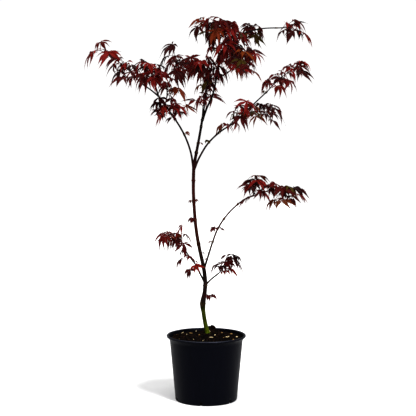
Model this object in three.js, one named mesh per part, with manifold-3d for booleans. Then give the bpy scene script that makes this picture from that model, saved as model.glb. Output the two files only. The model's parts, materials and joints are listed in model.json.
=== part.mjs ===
// A young Japanese maple in a nursery pot: pot, compost, trunk, boughs and masses of leaves.
// Millimetres, +Z up. The origin is the centre of the pot's flat underside, and the plant's
// widest side faces -Y.
import * as THREE from "three";
import { mergeVertices } from "three/addons/utils/BufferGeometryUtils.js";
import Module from "manifold-3d";

// Clearance between neighbouring pieces
const GAP = 0.3;
// The longest slack that a faceted round leaves inside its circle, on the pot's wall
const FACET_SLACK = 0.25;

// Pot
const POT_HEIGHT = 157;
const POT_RIM_RADIUS = 95;
const POT_NECK_RADIUS = 86.8;
const POT_NECK_HEIGHT = 140;
const POT_BASE_RADIUS = 73.9;
const POT_FOOT_BEVEL = 3;
const POT_WALL = 1.6;
const POT_FLOOR = 3;
const POT_SIDES = 48;
const LIP_ROUND = 2.8;
const NECK_BEND = 0.8;
const COVE_STEPS = 3;
const BEAD_STEPS = 6;
const DRAIN_COUNT = 6;
const DRAIN_WIDTH = 6.5;
const DRAIN_HEIGHT = 9;
const DRAIN_DEPTH = 20;
const DRAIN_TURN = -0.17;

// Compost
const COMPOST_EDGE = 149.5;
const COMPOST_CROWN = 157.2;
const COMPOST_ROUGHNESS = 1.6;
const COMPOST_SECTORS = 24;
const COMPOST_RINGS = [0.9, 0.74, 0.56, 0.37, 0.18];
const COMPOST_SEED = 11;
const NECK_FILL = 1.2;
const HEAP_AT = [14, 66];
const HEAP_HEIGHT = 9;
const HEAP_SPREAD = 13;
const TRUNK_PLATEAU = 22;

// Trunk: x, y, z and radius of its stations, from below the compost's surface to the fork
const TRUNK = [
  [4.8, 14.4, 149, 5.3],
  [-2.5, 13, 182.4, 4.6],
  [-6.4, 12, 206.8, 4.5],
  [-8.3, 10, 229.9, 6.2],
  [-3.9, 9, 256.9, 4.7],
  [-2.5, 7.5, 284.9, 4.4],
  [-6.8, 5.5, 320, 4.0],
  [-16.0, 3, 362.3, 3.7],
  [-23.4, 0, 405.7, 3.5],
  [-27.8, -2, 451.2, 3.4],
  [-30.4, -2, 503.5, 3.3],
  [-29.6, 0, 559.1, 3.5],
];
const ROOT_FLARE = 2.4;
const FLARE_FADE = 8;
const TRUNK_SIDES = 10;
const TRUNK_STEPS = 33;
const TRUNK_SAMPLES = 90;
// A block as wide as this stands for the ground when the trunk's foot is cut flat
const GROUND_CUT = 100;

// Boughs: the parent, the share of the parent's length where it starts, the stations after
// that start, and the radii at its root and tip
const BOUGHS = [
  {
    name: "leader",
    parent: "trunk",
    at: 1,
    route: [[-22.8, 0.9, 594.5], [-15.9, 3.6, 631], [-9.5, 8, 668.7]],
    radii: [2.9, 2.3],
  },
  {
    name: "leader_left",
    parent: "leader",
    at: 0.985,
    route: [[-5.3, 24, 697], [-0.1, 40, 736.2], [8, 56, 777]],
    radii: [1.7, 1.2],
  },
  {
    name: "leader_right",
    parent: "leader",
    at: 0.985,
    route: [[1.4, -5.4, 697], [15, -17.4, 727.3], [23.3, -28.2, 764.3], [27.9, -37.8, 803.3],
      [29.6, -46, 837.5]],
    radii: [2.0, 1.2],
  },
  {
    name: "left_bough",
    parent: "trunk",
    at: 0.988,
    route: [[-37.2, -12.8, 596.2], [-53.8, -28, 639.7], [-81.6, -45.8, 685], [-111.8, -66, 726.9]],
    radii: [1.9, 1.3],
  },
  {
    name: "left_upper",
    parent: "left_bough",
    at: 0.985,
    route: [[-116.5, -71, 747.4], [-120.4, -76, 763.3]],
    radii: [1.1, 0.9],
  },
  {
    name: "left_outer",
    parent: "left_bough",
    at: 0.985,
    route: [[-128.1, -59, 738.9], [-149.4, -52, 753.2]],
    radii: [1.1, 0.9],
  },
  {
    name: "right_bough",
    parent: "trunk",
    at: 0.984,
    route: [[-15.7, 13.1, 581], [4.7, 27.1, 613.3], [33.9, 42, 640.6], [71.6, 57.8, 665.3],
      [108.1, 74.4, 700.3], [148.7, 92, 737.6]],
    radii: [1.9, 1.0],
  },
  {
    name: "crown_right",
    parent: "leader_right",
    at: 0.6,
    route: [[40.3, -42.5, 773.2], [60.6, -60, 786.1]],
    radii: [1.1, 0.9],
  },
  {
    name: "crown_back",
    parent: "leader_right",
    at: 0.82,
    route: [[44.3, 11, 819.6], [66.5, 60, 825.9]],
    radii: [1.1, 0.9],
  },
  {
    name: "top_right",
    parent: "leader_right",
    at: 0.985,
    route: [[52.9, -31.5, 854.3], [88.1, -17, 870.8], [130.7, -2.5, 882.3], [178.4, 12, 885.1]],
    radii: [1.3, 0.8],
  },
  {
    name: "low_left",
    parent: "trunk",
    at: 0.435,
    route: [[-13.4, -7.2, 302.3], [-25.6, -21.5, 328.6], [-40.9, -35.8, 351.2], [-54.2, -50, 374.4]],
    radii: [1.5, 0.9],
  },
  {
    name: "low_right",
    parent: "trunk",
    at: 0.42,
    route: [[10.4, 21.5, 285.8], [30.7, 36, 300.3]],
    radii: [1.4, 0.9],
  },
  {
    name: "long_right",
    parent: "trunk",
    at: 0.528,
    route: [[4.2, -6.7, 345.3], [14.6, -19.3, 379.7], [28.6, -32, 417], [54.2, -44.7, 454.4],
      [86.5, -57.3, 483.5], [121, -70, 499.8]],
    radii: [1.7, 1.0],
  },
];
const BOUGH_SIDES = 6;
const BOUGH_SAMPLES = 40;
const STEPS_PER_STATION = 3;

// Finishes
const POT_FINISH = { color: 0x1d1e21, roughness: 0.5, metalness: 0 };
const COMPOST_FINISH = { color: 0x2e2118, roughness: 1, metalness: 0 };
const BARK_FINISH = { color: 0x4a2a22, roughness: 0.75, metalness: 0 };
const LEAF_FINISHES = {
  crimson: { color: 0x7a1620, roughness: 0.55, metalness: 0 },
  bronze: { color: 0x86391a, roughness: 0.55, metalness: 0 },
  maroon: { color: 0x4c1422, roughness: 0.55, metalness: 0 },
  olive: { color: 0x6b5a1e, roughness: 0.55, metalness: 0 },
};

// Masses of foliage: the limb and the share of its length where the stem starts, the stem's tip
// and bow, the shares of the stem that carry a pair, the length of its side twigs and how often
// a pair is twigs, the leaf's length, how far its blade leans down, how far the mass reaches
// from its stem, and the seed of its random numbers
const MASSES = [
  {
    name: "low_left_inner",
    limb: "low_left",
    at: 0.33,
    tip: [-25, -21, 318],
    bow: [0, 0, 2],
    nodes: [1],
    twig: 0,
    forks: 0,
    leaf: 28,
    droop: 0.9,
    reach: 46,
    seed: 70,
    finish: "crimson",
  },
  {
    name: "low_left_outer",
    limb: "low_left",
    at: 0.8,
    tip: [-51, -66, 360],
    bow: [0, 0, 1],
    nodes: [1],
    twig: 0,
    forks: 0,
    leaf: 25,
    droop: 0.75,
    reach: 44,
    seed: 6,
    finish: "crimson",
  },
  {
    name: "low_left_leaves",
    limb: "low_left",
    at: 1,
    tip: [-83, -62, 400],
    bow: [-1, 0, 5],
    nodes: [0.25, 0.62, 1],
    twig: 20,
    forks: 0.75,
    leaf: 38,
    droop: 0.9,
    reach: 62,
    seed: 120,
    finish: "maroon",
  },
  {
    name: "low_right_leaves",
    limb: "low_right",
    at: 1,
    tip: [57, 70, 325],
    bow: [0, 0, 3],
    nodes: [0.25, 0.65, 1],
    twig: 18,
    forks: 0.6,
    leaf: 32,
    droop: 0.45,
    reach: 52,
    seed: 31,
    finish: "crimson",
  },
  {
    name: "mid_right_inner",
    limb: "long_right",
    at: 0.94,
    tip: [119, -44, 515],
    bow: [0, 0, 3],
    nodes: [0.5, 1],
    twig: 18,
    forks: 0.6,
    leaf: 40,
    droop: 0.3,
    reach: 60,
    seed: 255,
    finish: "maroon",
  },
  {
    name: "mid_right_leaves",
    limb: "long_right",
    at: 1,
    tip: [186, -122, 503],
    bow: [4, 0, 8],
    nodes: [0.25, 0.5, 0.75, 1],
    twig: 22,
    forks: 0.7,
    leaf: 37,
    droop: 0.45,
    reach: 62,
    seed: 392,
    finish: "bronze",
  },
  {
    name: "right_sprig",
    limb: "right_bough",
    at: 0.4,
    tip: [38, 36, 649],
    bow: [0, 0, 1],
    nodes: [1],
    twig: 0,
    forks: 0,
    leaf: 30,
    droop: 0.75,
    reach: 46,
    seed: 162,
    finish: "olive",
  },
  {
    name: "right_lower",
    limb: "right_bough",
    at: 0.585,
    tip: [95, 41, 690],
    bow: [0, 0, 4],
    nodes: [0.4, 1],
    twig: 18,
    forks: 0.75,
    leaf: 36,
    droop: 0.6,
    reach: 62,
    seed: 258,
    finish: "bronze",
  },
  {
    name: "right_middle",
    limb: "right_bough",
    at: 0.76,
    tip: [147, 108, 684],
    bow: [0, 0, 4],
    nodes: [0.35, 0.7, 1],
    twig: 16,
    forks: 0.6,
    leaf: 38,
    droop: 0.3,
    reach: 62,
    seed: 58,
    finish: "bronze",
  },
  {
    name: "right_tip",
    limb: "right_bough",
    at: 1,
    tip: [222, 135, 797],
    bow: [-2, 0, 4],
    nodes: [0.1, 0.42, 0.72, 1],
    twig: 20,
    forks: 0.6,
    leaf: 35,
    droop: 0.45,
    reach: 60,
    seed: 292,
    finish: "crimson",
  },
  {
    name: "left_top",
    limb: "left_upper",
    at: 1,
    tip: [-117, -117, 775],
    bow: [0, 0, 4],
    nodes: [0.2, 0.5, 0.8, 1],
    twig: 22,
    forks: 0.6,
    leaf: 36,
    droop: 0.6,
    reach: 62,
    seed: 72,
    finish: "crimson",
  },
  {
    name: "far_left_leaves",
    limb: "left_outer",
    at: 1,
    tip: [-245, -38, 830],
    bow: [2, 0, 6],
    nodes: [0.12, 0.3, 0.5, 0.7, 1],
    twig: 22,
    forks: 0.6,
    leaf: 38,
    droop: 0.45,
    reach: 60,
    seed: 240,
    finish: "crimson",
  },
  {
    name: "left_low",
    limb: "left_bough",
    at: 0.66,
    tip: [-108, -91, 700],
    bow: [0, 0, 4],
    nodes: [0.5, 1],
    twig: 14,
    forks: 0.4,
    leaf: 34,
    droop: 0.45,
    reach: 60,
    seed: 173,
    finish: "crimson",
  },
  {
    name: "left_inner",
    limb: "left_bough",
    at: 0.68,
    tip: [-69, -34, 694],
    bow: [0, 0, 4],
    nodes: [0.6, 1],
    twig: 14,
    forks: 0.4,
    leaf: 33,
    droop: 0.3,
    reach: 58,
    seed: 214,
    finish: "maroon",
  },
  {
    name: "left_mid",
    limb: "left_bough",
    at: 0.86,
    tip: [-78, -120, 779],
    bow: [0, 0, 3],
    nodes: [0.3, 0.65, 1],
    twig: 18,
    forks: 0.6,
    leaf: 36,
    droop: 0.75,
    reach: 60,
    seed: 689,
    finish: "maroon",
  },
  {
    name: "fork_left",
    limb: "leader",
    at: 0.96,
    tip: [-8, -4, 702],
    bow: [0, 0, 2],
    nodes: [1],
    twig: 0,
    forks: 0,
    leaf: 38,
    droop: 0.3,
    reach: 56,
    seed: 254,
    finish: "maroon",
  },
  {
    name: "leader_mid",
    limb: "leader_left",
    at: 0.42,
    tip: [2, 85, 773],
    bow: [0, 0, 1],
    nodes: [0.6, 1],
    twig: 14,
    forks: 0.5,
    leaf: 34,
    droop: 0.9,
    reach: 58,
    seed: 235,
    finish: "bronze",
  },
  {
    name: "crown_left",
    limb: "leader_left",
    at: 1,
    tip: [-74, 127, 809],
    bow: [-4, 0, 9],
    nodes: [0.15, 0.38, 0.6, 0.8, 1],
    twig: 24,
    forks: 0.7,
    leaf: 38,
    droop: 0.75,
    reach: 66,
    seed: 257,
    finish: "crimson",
  },
  {
    name: "crown_low",
    limb: "leader_right",
    at: 0.47,
    tip: [1, -66, 795],
    bow: [0, 0, 5],
    nodes: [0.4, 1],
    twig: 20,
    forks: 0.7,
    leaf: 38,
    droop: 0.45,
    reach: 62,
    seed: 138,
    finish: "maroon",
  },
  {
    name: "crown_front",
    limb: "leader_right",
    at: 0.72,
    tip: [55, -83, 828],
    bow: [0, 0, 4],
    nodes: [0.4, 0.7, 1],
    twig: 22,
    forks: 0.7,
    leaf: 41,
    droop: 0.75,
    reach: 64,
    seed: 355,
    finish: "bronze",
  },
  {
    name: "crown_east",
    limb: "crown_right",
    at: 1,
    tip: [96, -112, 797],
    bow: [0, 0, 6],
    nodes: [0.2, 0.6, 1],
    twig: 24,
    forks: 0.75,
    leaf: 38,
    droop: 0.3,
    reach: 66,
    seed: 104,
    finish: "bronze",
  },
  {
    name: "crown_back_leaves",
    limb: "crown_back",
    at: 1,
    tip: [92, 134, 825],
    bow: [0, 0, 6],
    nodes: [0.2, 0.6, 1],
    twig: 24,
    forks: 0.7,
    leaf: 41,
    droop: 0.75,
    reach: 66,
    seed: 748,
    finish: "maroon",
  },
  {
    name: "crown_top",
    limb: "leader_right",
    at: 1,
    tip: [37, -89, 869],
    bow: [0, 0, 4],
    nodes: [0.2, 0.5, 0.8, 1],
    twig: 24,
    forks: 0.75,
    leaf: 40,
    droop: 0.9,
    reach: 66,
    seed: 136,
    finish: "bronze",
  },
  {
    name: "crown_top_left",
    limb: "leader_right",
    at: 0.9,
    tip: [6, -6, 890],
    bow: [0, 0, 6],
    nodes: [0.4, 0.7, 1],
    twig: 22,
    forks: 0.7,
    leaf: 36,
    droop: 0.3,
    reach: 66,
    seed: 719,
    finish: "bronze",
  },
  {
    name: "top_inner",
    limb: "top_right",
    at: 0.62,
    tip: [106, 23, 874],
    bow: [0, 0, 3],
    nodes: [0.5, 1],
    twig: 14,
    forks: 0.5,
    leaf: 34,
    droop: 0.75,
    reach: 58,
    seed: 16,
    finish: "olive",
  },
  {
    name: "top_tip",
    limb: "top_right",
    at: 1,
    tip: [206, 36, 883],
    bow: [0, 0, 3],
    nodes: [0.35, 1],
    twig: 14,
    forks: 0.5,
    leaf: 34,
    droop: 0.45,
    reach: 60,
    seed: 94,
    finish: "crimson",
  },
  {
    name: "trunk_sprout",
    limb: "trunk",
    at: 0.715,
    tip: [-30, -9, 431],
    bow: [0, 0, 1],
    nodes: [1],
    twig: 0,
    forks: 0,
    leaf: 18,
    droop: 0.75,
    reach: 30,
    seed: 68,
    finish: "maroon",
  },
  {
    name: "foot_sprout",
    limb: "trunk",
    at: 0.352,
    tip: [7, 1, 250],
    bow: [0, 0, 1],
    nodes: [1],
    twig: 0,
    forks: 0,
    leaf: 17,
    droop: 0.6,
    reach: 32,
    seed: 43,
    finish: "maroon",
  },
];

// Space round each mass: how far its leaves and twigs stay from what isn't their own
const CLEAR_OTHER = 8.5;
const CLEAR_OWN = 4;
const CLEAR_BOUGH = 4;
const CLEAR_TWIG = 2;
const CLEAR_STEM = 7;
const STEM_SAMPLES = 16;
const REACH_SAMPLES = 10;
const CORE_DROP = 6;
const TRIES = 8;

// Stems and twigs of the masses
const STEM_RADII = [1.6, 1.2];
const STEM_STEPS = 6;
const TWIG_RADII = [1.3, 1.1];
const TWIG_STEPS = 1;
const TWIG_BOW = [0, 0, 2];
const TWIG_SIDES = 3;
const PETIOLE_RADIUS = 0.6;
// How far a stem or twig runs on past its last leaves, which are rooted in it
const ROOT_SINK = 1.2;

// Leaf: the angle of each lobe from the midrib and its length as a share of the leaf's
const LOBES = [
  { angle: 0, share: 1 },
  { angle: 38, share: 0.93 },
  { angle: -38, share: 0.93 },
  { angle: 76, share: 0.74 },
  { angle: -76, share: 0.74 },
  { angle: 116, share: 0.4 },
  { angle: -116, share: 0.4 },
];
const LOBE_SAMPLES = [0.3, 0.55, 0.8, 1];
const PETIOLE_SAMPLES = [0.6, 1];
const LEAF_THICKNESS = 1.4;
const NOTCH_AT = 0.27;
const HEEL_AT = 0.06;
const HEEL_HALF_WIDTH = 0.05;
// How squarely a face of the heel must face the petiole to grow into it
const SEAM_FACING = 0.35;
const SHORT_LOBE = 0.5;

// Weld distance for shared corners
const WELD = 1e-4;

const wasm = await Module();
wasm.setup();

const vector = (x, y, z) => new THREE.Vector3(x, y, z);

// A closed geometry as a solid that can be joined and cut.
function solidOf(geometry) {
  const bare = geometry.clone();
  bare.deleteAttribute("normal");
  bare.deleteAttribute("uv");
  const merged = mergeVertices(bare, WELD);
  const mesh = new wasm.Mesh({
    numProp: 3,
    vertProperties: merged.getAttribute("position").array,
    triVerts: new Uint32Array(merged.index.array),
  });
  return new wasm.Manifold(mesh);
}

// A solid as a geometry that can be drawn.
function geometryOf(solid) {
  const mesh = solid.getMesh();
  const geometry = new THREE.BufferGeometry();
  geometry.setAttribute("position", new THREE.BufferAttribute(mesh.vertProperties, 3));
  geometry.setIndex(new THREE.BufferAttribute(mesh.triVerts, 1));
  geometry.computeVertexNormals();
  return geometry;
}

// The largest body of a solid: loose scraps and sealed hollows are left behind.
function mainBody(solid) {
  return solid.decompose().reduce((most, body) => (body.volume() > most.volume() ? body : most));
}

// Corners and faces as an indexed geometry.
function facets(corners, faces) {
  const geometry = new THREE.BufferGeometry();
  const positions = corners.flatMap((corner) => corner.toArray());
  geometry.setAttribute("position", new THREE.Float32BufferAttribute(positions, 3));
  geometry.setIndex(faces.flat());
  return geometry;
}

// Random numbers from 0 to 1 that come out the same on every run.
function seeded(seed) {
  let state = seed >>> 0;
  return () => {
    state = (state + 0x6d2b79f5) >>> 0;
    let mixed = state;
    mixed = Math.imul(mixed ^ (mixed >>> 15), mixed | 1);
    mixed ^= mixed + Math.imul(mixed ^ (mixed >>> 7), mixed | 61);
    return ((mixed ^ (mixed >>> 14)) >>> 0) / 4294967296;
  };
}

// A curve from start to tip, pushed out by bow at its middle.
function bowed(start, tip, bow) {
  return (share) =>
    start
      .clone()
      .lerp(tip, share)
      .addScaledVector(bow, 4 * share * (1 - share));
}

// A smooth value through evenly spaced stations, each a list of numbers.
function through(stations) {
  const last = stations.length - 1;
  return (share) => {
    const place = Math.min(Math.max(share, 0), 1) * last;
    const index = Math.min(Math.floor(place), last - 1);
    const f = place - index;
    const here = stations[index];
    const next = stations[index + 1];
    return here.map((value, axis) => {
      const before = index > 0 ? stations[index - 1][axis] : 2 * value - next[axis];
      const after = index < last - 1 ? stations[index + 2][axis] : 2 * next[axis] - value;
      const bend = 2 * before - 5 * value + 4 * next[axis] - after;
      const twist = 3 * value - before - 3 * next[axis] + after;
      return 0.5 * (2 * value + (next[axis] - before) * f + bend * f * f + twist * f * f * f);
    });
  };
}

// The direction of a curve at a share of its length.
function heading(curve, share) {
  const from = curve(Math.max(share - 0.01, 0));
  const to = curve(Math.min(share + 0.01, 1));
  return to.sub(from).normalize();
}

// Two directions at right angles to a heading: one level, one rising.
function across(ahead) {
  let flat = vector(0, 0, 1).cross(ahead).negate();
  if (flat.length() < 0.05) flat = vector(1, 0, 0);
  flat.normalize();
  flat.addScaledVector(ahead, -flat.dot(ahead)).normalize();
  return { flat, rise: flat.clone().cross(ahead) };
}

// A closed tapering tube along a curve, with flat ends.
function tube(curve, radiusAt, steps, sides) {
  const corners = [];
  const faces = [];
  let side = null;
  for (let step = 0; step <= steps; step++) {
    const share = step / steps;
    const centre = curve(share);
    const ahead = heading(curve, share);
    side = side === null ? across(ahead).flat : side.addScaledVector(ahead, -side.dot(ahead)).normalize();
    const up = ahead.clone().cross(side);
    for (let k = 0; k < sides; k++) {
      const turn = (2 * Math.PI * k) / sides;
      const corner = centre.clone().addScaledVector(side, radiusAt(share) * Math.cos(turn));
      corners.push(corner.addScaledVector(up, radiusAt(share) * Math.sin(turn)));
    }
  }
  for (let step = 0; step < steps; step++) {
    for (let k = 0; k < sides; k++) {
      const a = step * sides + k;
      const b = step * sides + ((k + 1) % sides);
      faces.push([a, b, b + sides], [a, b + sides, a + sides]);
    }
  }
  const end = steps * sides;
  for (let k = 1; k < sides - 1; k++) faces.push([0, k + 1, k], [end, end + k, end + k + 1]);
  return facets(corners, faces);
}

// A curve that runs on a little past its tip, in line with the last of its steps.
function carriedOn(curve, extra, steps) {
  const end = curve(1);
  end.addScaledVector(curve(1).sub(curve(1 - 1 / steps)).normalize(), extra);
  return (share) => (share === 1 ? end.clone() : curve(share));
}

// A radius that goes evenly from one end's value to the other's.
function tapered([root, tip]) {
  return (share) => root + (tip - root) * share;
}

// The pot: a turned wall with a flared neck and a rolled lip, and drain slots at its foot.
function potGeometry() {
  const beadRadius = POT_RIM_RADIUS - LIP_ROUND;
  const beadHeight = POT_HEIGHT - LIP_ROUND;
  const neckEnd = new THREE.Vector2(beadRadius, beadHeight - LIP_ROUND);
  const outerNeck = new THREE.Vector2(POT_NECK_RADIUS, POT_NECK_HEIGHT);
  const innerNeck = new THREE.Vector2(POT_NECK_RADIUS - POT_WALL, POT_NECK_HEIGHT);
  const bend = new THREE.Vector2(POT_NECK_RADIUS + NECK_BEND, neckEnd.y);
  const cove = new THREE.QuadraticBezierCurve(outerNeck, bend, neckEnd);
  const bead = [];
  for (let k = 1; k <= BEAD_STEPS; k++) {
    const turn = -Math.PI / 2 + ((3 * Math.PI) / 2) * (k / BEAD_STEPS);
    const point = new THREE.Vector2(Math.cos(turn), Math.sin(turn)).multiplyScalar(LIP_ROUND);
    bead.push(point.add(new THREE.Vector2(beadRadius, beadHeight)));
  }
  const profile = [
    new THREE.Vector2(0, 0),
    new THREE.Vector2(POT_BASE_RADIUS - POT_FOOT_BEVEL, 0),
    new THREE.Vector2(POT_BASE_RADIUS, POT_FOOT_BEVEL),
    ...cove.getPoints(COVE_STEPS),
    ...bead,
    innerNeck,
    new THREE.Vector2(potInnerRadius(POT_FLOOR), POT_FLOOR),
    new THREE.Vector2(0, POT_FLOOR),
  ];
  let pot = solidOf(new THREE.LatheGeometry(profile, POT_SIDES).rotateX(Math.PI / 2));
  for (let k = 0; k < DRAIN_COUNT; k++) {
    const slot = new THREE.BoxGeometry(DRAIN_WIDTH, DRAIN_DEPTH, 2 * DRAIN_HEIGHT);
    slot.translate(0, -POT_BASE_RADIUS, 0);
    slot.rotateZ(DRAIN_TURN + (2 * Math.PI * k) / DRAIN_COUNT);
    pot = pot.subtract(solidOf(slot));
  }
  return geometryOf(mainBody(pot));
}

// The inside radius of the pot's straight wall at a height.
function potInnerRadius(z) {
  const slope = (POT_NECK_RADIUS - POT_BASE_RADIUS) / (POT_NECK_HEIGHT - POT_FOOT_BEVEL);
  return POT_BASE_RADIUS + slope * (z - POT_FOOT_BEVEL) - POT_WALL;
}

// The compost fills the pot: level at the trunk, lower at the wall, with a heap at the back.
function compostGeometry() {
  const draw = seeded(COMPOST_SEED);
  const wall = (z) => potInnerRadius(z) - FACET_SLACK - GAP;
  const edge = wall(POT_NECK_HEIGHT);
  const foot = new THREE.Vector2(TRUNK[0][0], TRUNK[0][1]);
  const heap = new THREE.Vector2(...HEAP_AT);
  const corners = [vector(0, 0, POT_FLOOR + GAP)];
  const faces = [];
  const surface = (x, y) => {
    const place = new THREE.Vector2(x, y);
    if (place.distanceTo(foot) < TRUNK_PLATEAU) return COMPOST_CROWN;
    const fall = (place.length() / edge) ** 2;
    const rough = COMPOST_ROUGHNESS * (2 * draw() - 1);
    const rise = HEAP_HEIGHT * Math.exp(-((place.distanceTo(heap) / HEAP_SPREAD) ** 2));
    return COMPOST_CROWN + (COMPOST_EDGE - COMPOST_CROWN) * fall + rough + rise;
  };
  const ring = (radius, height) => {
    for (let k = 0; k < COMPOST_SECTORS; k++) {
      const turn = (2 * Math.PI * k) / COMPOST_SECTORS;
      const x = radius * Math.cos(turn);
      const y = radius * Math.sin(turn);
      corners.push(vector(x, y, height(x, y)));
    }
  };
  ring(wall(POT_FLOOR), () => POT_FLOOR + GAP);
  ring(edge, () => POT_NECK_HEIGHT);
  ring(edge + NECK_FILL, () => COMPOST_EDGE);
  for (const share of COMPOST_RINGS) ring(edge * share, surface);
  const rings = 3 + COMPOST_RINGS.length;
  const top = corners.push(vector(0, 0, COMPOST_CROWN)) - 1;
  for (let k = 0; k < COMPOST_SECTORS; k++) {
    const next = (k + 1) % COMPOST_SECTORS;
    faces.push([0, 1 + next, 1 + k]);
    for (let r = 0; r < rings - 1; r++) {
      const a = 1 + r * COMPOST_SECTORS + k;
      const b = 1 + r * COMPOST_SECTORS + next;
      faces.push([a, b, b + COMPOST_SECTORS], [a, b + COMPOST_SECTORS, a + COMPOST_SECTORS]);
    }
    const last = 1 + (rings - 1) * COMPOST_SECTORS;
    faces.push([last + k, last + next, top]);
  }
  return facets(corners, faces);
}

// The trunk and boughs as curves with a radius: each bough starts on its parent's middle line.
function limbCurves() {
  const limbs = new Map();
  const trunk = through(TRUNK);
  const soil = TRUNK[0][2];
  limbs.set("trunk", {
    name: "trunk",
    curve: (share) => vector(...trunk(share)),
    radius: (share) => {
      const [, , z, radius] = trunk(share);
      return radius + ROOT_FLARE * Math.exp(-Math.max(z - soil, 0) / FLARE_FADE);
    },
    steps: TRUNK_STEPS,
    sides: TRUNK_SIDES,
    samples: TRUNK_SAMPLES,
  });
  for (const { name, parent, at, route, radii } of BOUGHS) {
    const start = limbs.get(parent).curve(at).toArray();
    const middle = through([start, ...route]);
    limbs.set(name, {
      name,
      curve: (share) => vector(...middle(share)),
      radius: tapered(radii),
      steps: route.length * STEPS_PER_STATION,
      sides: BOUGH_SIDES,
      samples: BOUGH_SAMPLES,
    });
  }
  return limbs;
}

// A limb's solid, or the room that it takes with the clearance round it and past its tip.
function limbSolid(limb, clearance) {
  const margin = clearance / Math.cos(Math.PI / limb.sides);
  const curve = carriedOn(limb.curve, clearance, limb.steps);
  return solidOf(tube(curve, (share) => limb.radius(share) + margin, limb.steps, limb.sides));
}

// A leaf on its petiole. The blade leans down from the petiole's end, and its lobes arch over.
function leafAt(draw, root, out, size, droop) {
  const petiole = size * (0.42 + 0.3 * draw());
  const lift = out.clone().add(vector(0, 0, 0.25 + 0.25 * draw())).normalize();
  const base = root.clone().addScaledVector(lift, petiole);
  const level = vector(out.x, out.y, 0);
  if (level.length() < 0.15) {
    const turn = draw() * 2 * Math.PI;
    level.set(Math.cos(turn), Math.sin(turn), 0);
  }
  level.normalize();
  level.applyAxisAngle(vector(0, 0, 1), (draw() - 0.5) * 0.9);
  const fall = droop + (draw() - 0.5) * 0.8;
  const ahead = level.clone().multiplyScalar(Math.cos(fall)).setZ(-Math.sin(fall));
  const face = level.clone().multiplyScalar(Math.sin(fall)).setZ(Math.cos(fall));
  const roll = draw() - 0.5;
  const side = face.clone().cross(ahead).multiplyScalar(Math.cos(roll));
  side.addScaledVector(face, Math.sin(roll));
  const sag = 0.22 + 0.4 * draw();
  const lobes = LOBES.map(({ angle, share }) => {
    const turn = THREE.MathUtils.degToRad(angle * (0.94 + 0.12 * draw()));
    const reach = size * share * (0.94 + 0.12 * draw());
    const way = ahead.clone().multiplyScalar(Math.cos(turn)).addScaledVector(side, Math.sin(turn));
    return { angle, way, reach };
  });
  return { root, base, ahead, size, sag, lobes, normal: ahead.clone().cross(side) };
}

// A point on a lobe's midrib, which arches over under its own weight.
function lobePoint(leaf, { way, reach }, share) {
  const fall = leaf.sag * reach * share * share;
  const point = leaf.base.clone().addScaledVector(way, reach * share + way.z * fall);
  point.z -= fall;
  return point;
}

// The points that stand for a leaf when its room is tested.
function leafPoints(leaf) {
  const points = PETIOLE_SAMPLES.map((share) => leaf.root.clone().lerp(leaf.base, share));
  for (const lobe of leaf.lobes) {
    for (const share of LOBE_SAMPLES) points.push(lobePoint(leaf, lobe, share));
  }
  return points;
}

// A leaf: a thin star of its long lobes, thickest at its heart, on a three-sided petiole. The
// petiole grows out of the heel's upper or lower face, or is joined on where neither faces it.
function leafSolid(leaf) {
  const { root, base, ahead, normal, size } = leaf;
  const lobes = leaf.lobes.filter((lobe) => lobe.reach > SHORT_LOBE * size);
  lobes.sort((a, b) => a.angle - b.angle);
  const sideways = normal.clone().cross(ahead);
  const heel = base.clone().addScaledVector(ahead, -HEEL_AT * size);
  const corners = [heel.clone().addScaledVector(sideways, -HEEL_HALF_WIDTH * size)];
  const tips = lobes.map((lobe) => lobePoint(leaf, lobe, 1));
  const wayTo = (tip) => tip.clone().sub(base).normalize();
  tips.forEach((tip, index) => {
    corners.push(tip);
    if (index < tips.length - 1) {
      const between = wayTo(tip).add(wayTo(tips[index + 1])).normalize();
      corners.push(base.clone().addScaledVector(between, NOTCH_AT * size));
    }
  });
  const last = corners.push(heel.addScaledVector(sideways, HEEL_HALF_WIDTH * size)) - 1;
  const top = corners.push(base.clone().addScaledVector(normal, LEAF_THICKNESS / 2)) - 1;
  const bottom = corners.push(base.clone().addScaledVector(normal, -LEAF_THICKNESS / 2)) - 1;
  const faces = [];
  for (let k = 0; k < last; k++) faces.push([top, k, k + 1], [bottom, k + 1, k]);

  const back = root.clone().sub(base).normalize();
  const facing = ([a, b, c]) => {
    const edge = corners[b].clone().sub(corners[a]);
    return edge.cross(corners[c].clone().sub(corners[a])).normalize().dot(back);
  };
  const seams = [[top, last, 0], [bottom, 0, last]].sort((a, b) => facing(b) - facing(a));
  faces.push(seams[1]);
  if (facing(seams[0]) < SEAM_FACING) {
    faces.push(seams[0]);
    const petiole = (share) => root.clone().lerp(base, share);
    const stalk = tube(petiole, () => PETIOLE_RADIUS, 1, TWIG_SIDES);
    return solidOf(facets(corners, faces)).add(solidOf(stalk));
  }
  const ring = corners.length;
  const middle = vector(0, 0, 0);
  for (const corner of seams[0]) middle.addScaledVector(corners[corner], 1 / 3);
  for (const corner of seams[0]) {
    const offset = corners[corner].clone().sub(middle);
    offset.addScaledVector(back, -offset.dot(back)).setLength(PETIOLE_RADIUS);
    corners.push(root.clone().add(offset));
  }
  seams[0].forEach((corner, k) => {
    const next = (k + 1) % 3;
    faces.push([corner, seams[0][next], ring + next], [corner, ring + next, ring + k]);
  });
  faces.push([ring, ring + 1, ring + 2]);
  return solidOf(facets(corners, faces));
}

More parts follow.
